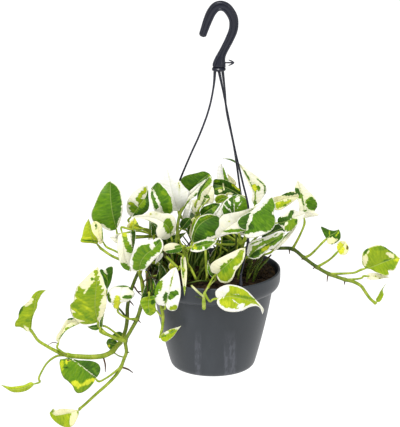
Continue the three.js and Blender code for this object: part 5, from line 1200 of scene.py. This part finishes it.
STEMS = {
    "vine_left_low": dict(
        radius=(1.7, 2.0, 2.2, 2.0, 1.8, 1.5), age=(0.4, 0.5, 0.65, 0.5, 0.25, 0.2),
        route=[(168, 274, 30), (158, 264, 38), (148, 263, 45), (140, 272, 47), (142.5, 283, 47),
               (144, 296, 45), (141, 306.5, 41.5), (137, 319, 38), (130.5, 331, 36), (125.5, 341, 35),
               (126.4, 352, 34), (124, 359, 33), (121, 367, 32), (116.5, 374.5, 31), (107, 384.5, 31),
               (97, 393.3, 31), (86.5, 403, 31), (79.5, 409, 31)],
        twigs=[(1.1, ROOT, [(121, 367, 32), (128, 369.3, 33), (132.8, 372.6, 34)]),
               (0.9, ROOT, [(137, 319, 38), (140.6, 322.6, 41)]),
               (0.8, ROOT, [(143.5, 291, 46), (138, 291.5, 48), (135.3, 287, 48)]),
               (0.8, 0.9, [(126.4, 352.5, 34), (129, 352.3, 36)]),
               (0.8, 0.6, [(125, 357.4, 33), (119, 355.9, 31), (114.5, 353, 28)]),
               (1.0, 1.6, [(138.5, 320, 38), (133, 320, 33), (127.6, 317.5, 28)]),
               (1.1, 1.7, [(151, 263, 48), (147, 275, 54), (147.5, 290, 54), (143.6, 300, 46)]),
               (0.9, 1.6, [(156, 268, 46), (151, 279, 53), (152.5, 291, 54), (148, 303, 50)]),
               (0.8, 1.8, [(142.5, 283, 48), (147, 279, 53), (153, 277.5, 54), (158, 281, 50)])]),
    "vine_left_out": dict(
        radius=(1.8, 1.8, 1.9, 2.1, 2.2, 2.9, 2.8, 1.9, 1.6),
        age=(0.6, 0.7, 0.75, 0.7, 0.5, 0.25, 0.1, 0.1, 0.1),
        route=[(166, 271, 16), (154, 259, 22), (144, 262, 28), (138, 273, 32), (133, 285, 32),
               (129.5, 296, 31), (127.4, 308, 29), (127.2, 319, 27), (125.5, 330, 26), (122, 339, 26),
               (118, 344.8, 26), (112.5, 351.2, 26), (104, 355.6, 26), (92, 357, 26), (80, 356.6, 26),
               (68, 355.3, 26), (57, 351.5, 26), (46, 345.6, 26), (38, 340.3, 26), (33.2, 333.5, 27),
               (31, 330.5, 28)],
        twigs=[(1.0, ROOT, [(103.6, 358, 27), (105.2, 364.5, 28), (105.3, 371.8, 28)]),
               (0.9, ROOT, [(133, 285, 32), (138, 292, 37), (142.3, 296.2, 39)]),
               (0.8, ROOT, [(129, 300, 30), (133.8, 305.6, 32)]),
               (1.3, 1.4, [(127.2, 319, 27), (122.5, 312.5, 34), (118, 307.5, 42)]),
               (0.5, ROOT, [(58, 343.5, 31), (53.5, 342.3, 31), (48, 345, 31)])]),
    "vine_right": dict(
        radius=(2.0, 2.0, 2.0, 2.0, 1.9, 1.6), age=(1.0, 1.0, 0.85, 0.7, 0.4, 0.2),
        route=[(246, 262, -4), (254, 252, -8), (264, 249, -10), (281, 248.2, -10), (292.5, 249, -10),
               (304, 257.7, -10), (317, 267.2, -9), (329, 274, -8), (336, 276.6, -7), (345, 279.6, -6),
               (354, 282, -5), (361, 286, -4), (366, 293, -4), (370.5, 299, -4), (375.5, 303.3, -4)],
        twigs=[(0.8, ROOT, [(289.3, 249, -9), (289.6, 254, -8)]),
               (0.8, ROOT, [(302.5, 257, -9), (301.8, 260, -8)]),
               (0.8, ROOT, [(315.3, 266.5, -8), (312.8, 269.2, -7)]),
               (0.8, ROOT, [(327.8, 274.5, -7), (327, 282, -7)]),
               (0.8, ROOT, [(344.8, 280, -5), (344.4, 284.6, -5)]),
               (1.1, 0.5, [(259, 259, 12), (254, 267, 22), (250, 275, 30), (248, 280, 33)]),
               (1.0, 0.8, [(252, 258, 4), (248, 266, 6), (245, 273, 6)])]),
    "shoot_front": dict(
        radius=(0.8, 0.8, 0.8, 0.8, 0.9, 1.4, 2.1, 2.1), age=(0.9, 0.5, -0.6, -0.5, -0.5, -0.3, -0.3, -0.3),
        route=[(216, 279.5, 50), (215.5, 280, 60), (212, 283, 70), (208, 287.5, 78), (204.5, 293.5, 81.5),
               (203.8, 300, 81), (204, 308.5, 80)],
        twigs=[(1.3, -0.8, [(203.5, 296.5, 82), (197.5, 291.5, 82), (191.5, 285.6, 79)]),
               (0.7, 1.5, [(203, 298.5, 81), (195.5, 296.3, 80)]),
               (1.1, ROOT, [(204.5, 293, 80.5), (205.5, 289, 79), (209, 286, 77)])]),
    "shoot_hanging": dict(
        radius=(0.9, 0.9, 0.9, 1.2, 1.9, 1.8, 1.4), age=(1.3, 1.3, 1.2, 0.3, -0.3, 0.0, 0.1),
        route=[(169, 270, 34), (163, 262, 44), (160.2, 268, 56), (159.8, 282, 61), (160.5, 296, 61.5),
               (161.6, 308, 59), (162.9, 316, 57.5), (162.6, 325, 56.5), (161.2, 333, 56)],
        twigs=[(0.9, 0.0, [(161.5, 317, 58), (159, 314, 59), (156.6, 310.5, 59)])]),
    "crown_left": dict(
        radius=(2.3, 1.7), age=(0.8, 0.4),
        route=[(170, 267, 4), (168, 260, 5), (165, 252, 6), (161, 244, 8), (157, 236, 9)],
        twigs=[(1.4, 0.9, [(153, 272, 8), (152.5, 267, 12), (151.5, 258, 16), (152, 246, 14)]),
               (1.2, 0.0, [(151.5, 232, 20), (146, 229, 22), (140, 229.3, 24), (134, 232, 30)]),
               (1.1, 1.3, [(159, 278, 28), (162, 271, 30), (162, 264, 32), (161.5, 256, 34)]),
               (1.2, 0.0, [(161, 271, 24), (157, 275.5, 26), (150, 275.5, 26), (145.5, 271.5, 24)])]),
    "crown_front": dict(
        radius=(2.3, 1.7), age=(0.8, 0.4),
        route=[(188, 277, 38), (187, 270, 42), (186, 263, 44), (185, 256, 45), (184, 249, 44)],
        twigs=[(1.9, 0.0, [(184, 270.5, 61), (180, 266.5, 57)]),
               (1.5, 0.2, [(177.5, 267.5, 56), (172, 262, 55), (166.5, 256.5, 53)]),
               (0.9, 0.4, [(198, 280, 38), (194.5, 277, 44), (190.8, 269, 50), (187.6, 261, 50),
                           (187, 249, 44)]),
               (0.8, 0.7, [(186, 283, 48), (187, 272, 50), (188.5, 260, 50), (192, 248, 44)]),
               (1.0, 0.9, [(186.5, 284, 52), (193, 282.3, 54), (200, 280.8, 54), (207.5, 281.3, 52)]),
               (0.8, 1.5, [(196, 273.5, 34), (203, 268, 34), (206.5, 265, 33)]),
               (1.0, 0.5, [(210, 282, 42), (207, 276, 44), (205.5, 266, 44), (205.5, 249, 40)]),
               (1.8, 0.6, [(176, 245, 36), (177, 235, 34), (178.2, 222, 30), (180.5, 213, 22),
                           (184, 207, 16)]),
               (1.5, -0.1, [(186, 262, 40), (190.5, 268, 48), (195, 277, 52), (196.5, 281, 50)]),
               (1.5, -0.2, [(205.5, 250, 40), (206, 263, 46), (207, 276, 50), (206, 281, 48)])]),
    "crown_right": dict(
        radius=(2.3, 1.7), age=(0.8, 0.4),
        route=[(238, 274.5, 26), (239, 267, 26), (240, 260, 27), (241, 252, 28), (242, 245, 29)],
        twigs=[(1.0, 0.4, [(213, 276, 22), (213, 262, 28), (216, 250, 34), (218, 240, 36)]),
               (0.9, 0.0, [(222, 278, 28), (220, 262, 30), (221, 246, 34), (222, 237, 36)]),
               (1.2, 0.9, [(236.5, 270, 30), (236, 255, 36), (236.2, 235, 38)]),
               (0.9, 0.15, [(241, 270, 30), (237, 250, 38), (240.5, 235, 40)]),
               (1.1, 0.6, [(238, 279, 34), (239, 273, 36), (241.5, 265, 36), (247, 255.5, 40)])]),
    "crown_back": dict(
        radius=(2.3, 1.7), age=(0.8, 0.4),
        route=[(208, 260.5, -26), (207, 253, -26), (206, 245, -26), (206, 237, -25), (207, 229, -24)],
        twigs=[(0.8, 0.2, [(207, 229, -24), (199, 217, 0), (203, 206, 4), (209.5, 198.5, 0)]),
               (1.0, 0.5, [(206, 240, -25), (192, 228, 0), (190, 219, 10)])]),
}


# Leaf blades

def bow_of(leaf, along):
    """How far the midrib lies off the straight line from base to tip."""
    rib = np.array(leaf["rib"], float)[:, :2]
    bow = rib[len(rib) // 2] - (rib[0] + rib[-1]) / 2
    share = min(1.0, max(0.0, along))
    return bow * 4 * share * (1 - share)


def margins_of(leaf):
    """The left and the right margin between base and tip, as picture points."""
    if "left" in leaf:
        return leaf["left"], leaf["right"]
    base, tip = np.array(leaf["rib"][0][:2], float), np.array(leaf["rib"][-1][:2], float)
    heading = tip - base
    leftward = unit(np.array([heading[1], -heading[0]])) * leaf["width"]
    middles = [base + heading * along + bow_of(leaf, along) for along, _ in PLAIN_HALF]
    left = [m + leftward * half for m, (_, half) in zip(middles, PLAIN_HALF)]
    right = [m - leftward * half for m, (_, half) in zip(middles, PLAIN_HALF)]
    return left, right


def ragged(along, across, seed):
    """An irregular swing between about -1 and 1, longer along the lateral veins than across them."""
    swings = np.sin(0.55 * along + 0.1 * across + 3.1 * seed)
    swings = swings + np.sin(1.13 * along - 0.17 * across + 5.7 * seed)
    return (swings + 0.6 * np.sin(2.3 * along + 0.3 * across + 1.9 * seed)) / 2.2


def smoothstep(value, low, high):
    share = np.clip((value - low) / (high - low), 0, 1)
    return share * share * (3 - 2 * share)


def inside_mark(mark, picture, along, across, seed):
    """How deep each place lies inside one mark's ragged ellipse, in millimetres, and below 0 outside it."""
    x, y, wide, high, turned, _ = mark
    angle = math.radians(turned)
    warp = 0.3 * min(wide, high, 3.0)
    aside = picture[..., 0] - x + warp * ragged(1.9 * along, 0.7 * across, seed + x)
    below = picture[..., 1] - y + warp * ragged(1.5 * along, -0.9 * across, seed + y)
    first = (aside * math.cos(angle) + below * math.sin(angle)) / wide
    second = (below * math.cos(angle) - aside * math.sin(angle)) / high
    size = min(wide, high) * PICTURE_POINT
    return (1 - np.hypot(first, second)) * size + 0.3 * min(1, size) * ragged(1.4 * along, across, seed + x)


def paint_of(leaf, picture, along, across, inset, seed):
    """How deep inside the green each place lies, and its tone."""
    left = 0.5 + 0.5 * np.tanh(across / 0.4)
    rim = leaf["rim"][0] * left + leaf["rim"][1] * (1 - left)
    tone = leaf["tone"][0] * left + leaf["tone"][1] * (1 - left)
    green = inset - rim * (1 + 0.25 * ragged(along, across, seed))
    comb = np.maximum(0, np.sin(math.pi * (along - 0.5 * np.abs(across)) / VEIN_SPACING + seed)) ** 2
    green = green - leaf["fray"] * comb
    for mark in leaf["marks"]:
        inside = inside_mark(mark, picture, along, across, seed)
        if mark[-1] == WHITE:
            green = np.minimum(green, -inside)
        else:
            tone = tone + (mark[-1] - tone) * smoothstep(inside, -0.5, 0.5)
            green = np.maximum(green, inside)
    return green, tone


def raised_of(leaf, along, across, half_width, shares, seed):
    """How much nearer than the midrib each place stands, from the fold, bulge, wavy margins and veins."""
    reach = np.abs(shares)
    raised = np.where(shares > 0, *leaf["lift"]) * (np.sqrt(across ** 2 + 1.0) - 1.0)
    raised = raised + leaf["bulge"] * half_width * reach * (1 - reach)
    phase = seed * 5.0 + np.where(shares > 0, 1.7, 0.0)
    ends = np.sin(math.pi * np.linspace(0, 1, len(along)))[:, None] ** 0.5
    raised = raised + leaf["wave"] * reach ** 3 * ends * np.sin(along * WAVE_RATE + phase)
    veins = np.abs(np.sin(math.pi * (along - VEIN_SLANT * np.abs(across)) / VEIN_SPACING))
    return raised + VEIN_RELIEF * veins * np.minimum(1, 3 * reach) * (1 - reach ** 4)


def normals_of(middle, facing):
    """The sheet's normals on the viewer's side, where facing stands in at places without a normal."""
    normal = np.cross(np.gradient(middle, axis=0), np.gradient(middle, axis=1))
    size = np.linalg.norm(normal, axis=2, keepdims=True)
    normal = np.where(size > 1e-6, normal / np.maximum(size, 1e-9), facing)
    seen = np.sum(normal[BLADE_ROWS // 2, BLADE_COLUMNS // 2] * facing) >= 0
    return normal if seen else -normal


def blade(leaf, seed):
    """Points, faces, blade values, paint values and undersides of one leaf blade, thin at its margin."""
    rib = resampled(smooth_path(leaf["rib"], 0.5), BLADE_ROWS + 1, BASE_CROWDING)
    left, right = [resampled(smooth_path([rib[0][:2], *margin, rib[-1][:2]], 0.5), BLADE_ROWS + 1)[:, None]
                   for margin in margins_of(leaf)]
    shares = np.linspace(-1, 1, BLADE_COLUMNS + 1)
    reach = np.abs(shares)[None, :]
    edges = np.where((shares > 0)[None, :, None], left, right)
    picture = rib[:, None, :2] + (edges - rib[:, None, :2]) * reach[..., None]
    half_width = np.linalg.norm(edges - rib[:, None, :2], axis=2) * PICTURE_POINT
    across = half_width * shares[None, :]
    places = at(rib)
    along = np.broadcast_to(lengths_along(places)[:, None], across.shape)
    near = rib[:, 2][:, None] + raised_of(leaf, along, across, half_width, shares, seed)
    middle = at(np.concatenate([picture, near[..., None]], axis=2))

    inset = np.minimum(half_width * (1 - reach) * 0.9, (along[-1, 0] - along) + 0.3)
    green, tone = paint_of(leaf, picture, along, across, inset, seed)
    where = np.stack([along, across, np.full(across.shape, seed)], axis=2)
    paint = np.stack([green, tone, np.full(across.shape, leaf["cream"])], axis=2)

    normal = normals_of(middle, unit(EYE - places[BLADE_ROWS // 2]))
    half = BLADE_THICKNESS / 2 * (1 - reach ** 2)[..., None]
    thinning = (1 - np.linspace(0, 1, BLADE_ROWS + 1))[:, None]
    ridge = (RIDGE_DEPTH * np.exp(-(across / RIDGE_WIDTH) ** 2) * thinning * (1 - reach ** 2))[..., None]
    return grid_shell(middle, middle + normal * half, middle - normal * (half + ridge), where, paint)


def grid_shell(middle, upper, lower, where, paint):
    """Joins an upper and a lower sheet at their margins, with one point at the base and one at the tip."""
    rows, columns = middle.shape[0] - 1, middle.shape[1] - 1
    centre = columns // 2
    points, values, paints, unders = [], [], [], []

    def add_point(sheet, i, j, under):
        points.append(sheet[i, j])
        values.append(where[i, j])
        paints.append(paint[i, j])
        unders.append(under)
        return len(points) - 1

    base, tip = add_point(middle, 0, centre, 0.0), add_point(middle, rows, centre, 0.0)
    top, bottom = {}, {}
    for i in range(1, rows):
        for j in range(columns + 1):
            margin = j in (0, columns)
            top[i, j] = add_point(middle if margin else upper, i, j, 0.0)
            bottom[i, j] = top[i, j] if margin else add_point(lower, i, j, 1.0)
    faces = []
    for j in range(columns):
        faces.append((base, top[1, j], top[1, j + 1]))
        faces.append((base, bottom[1, j + 1], bottom[1, j]))
        faces.append((tip, top[rows - 1, j + 1], top[rows - 1, j]))
        faces.append((tip, bottom[rows - 1, j], bottom[rows - 1, j + 1]))
        for i in range(1, rows - 1):
            faces.append((top[i, j], top[i + 1, j], top[i + 1, j + 1], top[i, j + 1]))
            faces.append((bottom[i, j], bottom[i, j + 1], bottom[i + 1, j + 1], bottom[i + 1, j]))
    return np.array(points), faces, np.array(values), np.array(paints), np.array(unders)


def make_leaf(name, leaf, seed, material):
    points, faces, values, paints, unders = blade(leaf, seed)
    mesh = new_mesh(name, points, faces, {"blade": values, "paint": paints})
    mesh.attributes.new("under", "FLOAT", "POINT").data.foreach_set("value", unders.astype(np.float32))
    stands_for = (name,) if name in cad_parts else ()
    finish_piece(name + "_blade", mesh, material, stands_for)


# Stems and stalks

def stalk_route(leaf):
    base, further = at(leaf["rib"][0]), at(leaf["rib"][1])
    heading = unit(further - base)
    start = at(STEMS[leaf["stem"]]["route"][leaf["node"]])
    end = base + heading * 0.6
    neck = base - heading * min(NECK_LENGTH, np.linalg.norm(end - start) / 3)
    return smooth_path([start, *[at(p) for p in leaf["via"]], neck, end], 1.0)


def spread(values, path):
    """Values given at even shares of a path's length, read at each of its points."""
    along = lengths_along(path)
    return np.interp(along, np.linspace(0, along[-1], len(values)), values)


def add_stem(build, path, radii, ages, seed, sides=12):
    """Adds a bar with a radius for each point, and ages at even shares of its length."""
    points, faces = tube(path, radii, sides)
    along = lengths_along(path)
    ages = spread(ages, path)
    rows = [0, *range(len(path)), len(path) - 1]
    values = np.array([[along[i], ages[i], seed] for i in rows for _ in range(sides)])
    values = np.concatenate([values, values[:1], values[-1:]])
    build.add(points, faces, values)


def add_thicket(build, centre, seed):
    """Leaf stalks that rise from the soil around a crown and fan out under its leaves."""
    random.seed(seed)
    for number in range(THICKET_COUNT):
        turned = random.uniform(0, 2 * math.pi)
        lean = np.array([math.cos(turned), math.sin(turned), 0.0])
        foot = centre + lean * random.uniform(*THICKET_FOOT_REACH)
        foot[2] = soil_level(foot[0], foot[1]) - 1.5
        head = foot + lean * random.uniform(*THICKET_HEAD_REACH)
        head[2] += random.uniform(*THICKET_RISE)
        middle = (foot + head) / 2 + lean * -3
        stalk = smooth_path([foot, middle, head], 2.0)
        radius = random.uniform(*THICKET_RADIUS)
        age = random.choice(THICKET_AGES)
        add_stem(build, stalk, spread((radius, radius, radius * 0.7), stalk), (age, age), number, 8)


def swollen_radii(spec, path, leaf_nodes):
    """A stem's radii at each point of its path, thicker where leaves grow."""
    radii = spread(spec["radius"], path)
    for index in leaf_nodes:
        gap = np.linalg.norm(path - at(spec["route"][index]), axis=1)
        radii = radii * (1 + NODE_SWELL * np.exp(-(gap / NODE_LENGTH) ** 2))
    return radii


def make_stem(name, material):
    """A stem with its leaf stalks and twigs. A crown's smaller stalks go into a thicket of their own."""
    spec = STEMS[name]
    seed = sum(map(ord, name)) % 17
    grown = {key: leaf for key, leaf in LEAVES.items() if leaf["stem"] == name}
    path = smooth_path([at(p) for p in spec["route"]], 1.2)
    radii = swollen_radii(spec, path, {leaf["node"] for leaf in grown.values()})
    build, thicket = Build(), Build()
    add_stem(build, path, radii, spec["age"], seed, 14)
    is_crown = name.startswith("crown")
    for number, (key, leaf) in enumerate(grown.items()):
        stalk = stalk_route(leaf)
        foot_age = np.interp(lengths_along(stalk)[-1], STALK_LENGTHS, STALK_FOOT_AGES)
        ages = (foot_age, *STALK_UPPER_AGES)
        holder = thicket if is_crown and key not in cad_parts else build
        add_stem(holder, stalk, spread(STALK_RADII, stalk) * leaf["stalk"], ages, seed + number)
    for number, (radius, age, route) in enumerate(spec["twigs"]):
        twig = smooth_path([at(p) for p in route], 0.8)
        taper = ROOT_TAPER if age >= ROOT else TWIG_TAPER
        twig_radii = spread([radius * share for share in taper], twig)
        add_stem(build, twig, twig_radii, (age, age), seed + TWIG_SEED + number, 10)
    build.piece(name + "_growth", material, "stem", (name,), "grow")
    if is_crown:
        add_thicket(thicket, path[0], seed)
        thicket.piece(name + "_thicket", material, "stem", (), "grow")


# Stage

def make_floor():
    corners = [(x, y, FLOOR_LEVEL) for x, y in ((-1, -1), (1, -1), (1, 1), (-1, 1))]
    mesh = bpy.data.meshes.new("floor")
    mesh.from_pydata([(x * FLOOR_HALF, y * FLOOR_HALF, z) for x, y, z in corners], [], [(0, 1, 2, 3)])
    material, tree, shader = new_material("floor")
    connect(tree, shader, Base_Color=rgb(0.97, 0.97, 0.97), Roughness=0.9)
    mesh.materials.append(material)
    floor = bpy.data.objects.new("floor", mesh)
    bpy.context.collection.objects.link(floor)


def away_from(azimuth, elevation):
    """A unit vector that points from the object towards the given angles, in degrees."""
    a, e = math.radians(azimuth), math.radians(elevation)
    return Vector((math.sin(a) * math.cos(e), -math.cos(a) * math.cos(e), math.sin(e)))


def place_light(data, azimuth, elevation, power):
    """Aims a light at the middle of the view from the given angles."""
    data.energy = power
    light = bpy.data.objects.new(data.name, data)
    away = away_from(azimuth, elevation)
    light.location = Vector(((VIEW_TARGET - SEAT) * MM).tolist()) + away * LIGHT_DISTANCE
    light.rotation_mode = "QUATERNION"
    light.rotation_quaternion = away.to_track_quat("Z", "Y")
    bpy.context.collection.objects.link(light)


def make_sun(name, azimuth, elevation, power, spread_angle):
    data = bpy.data.lights.new(name, "SUN")
    data.angle = math.radians(spread_angle)
    place_light(data, azimuth, elevation, power)


def make_panel(name, azimuth, elevation, power, width, height):
    data = bpy.data.lights.new(name, "AREA")
    data.shape = "RECTANGLE"
    data.size, data.size_y = width, height
    place_light(data, azimuth, elevation, power)


def make_stage():
    make_floor()
    make_sun("ceiling", azimuth=-15, elevation=60, power=3.1, spread_angle=28)
    make_panel("key", azimuth=38, elevation=20, power=8, width=0.4, height=1.4)
    make_panel("fill", azimuth=-50, elevation=35, power=5, width=0.5, height=1.4)
    world = bpy.data.worlds.new("studio")
    world.use_nodes = True
    background = world.node_tree.nodes["Background"]
    connect(world.node_tree, background, Color=rgb(1.0, 1.0, 1.0), Strength=DAYLIGHT)
    bpy.context.scene.world = world
    bpy.context.scene.view_settings.view_transform = "Standard"


make_camera()
make_stage()
pot_plastic = plastic_material("pot_plastic", POT_DARK, POT_LIGHT, 0.42, POT_GLINT_STREAKS)
hanger_plastic = plastic_material("hanger_plastic", HANGER_DARK, HANGER_LIGHT, 0.3)
make_pot(pot_plastic)
make_soil(soil_material())
make_hook(hanger_plastic)
for strand_name in CLIPS:
    make_strand(strand_name, hanger_plastic)
leaf_look = leaf_material()
stem_look = stem_material()
for stem_name in STEMS:
    make_stem(stem_name, stem_look)
for number, (leaf_name, leaf_spec) in enumerate(LEAVES.items()):
    make_leaf(leaf_name, leaf_spec, 1 + number * SEED_STEP, leaf_look)
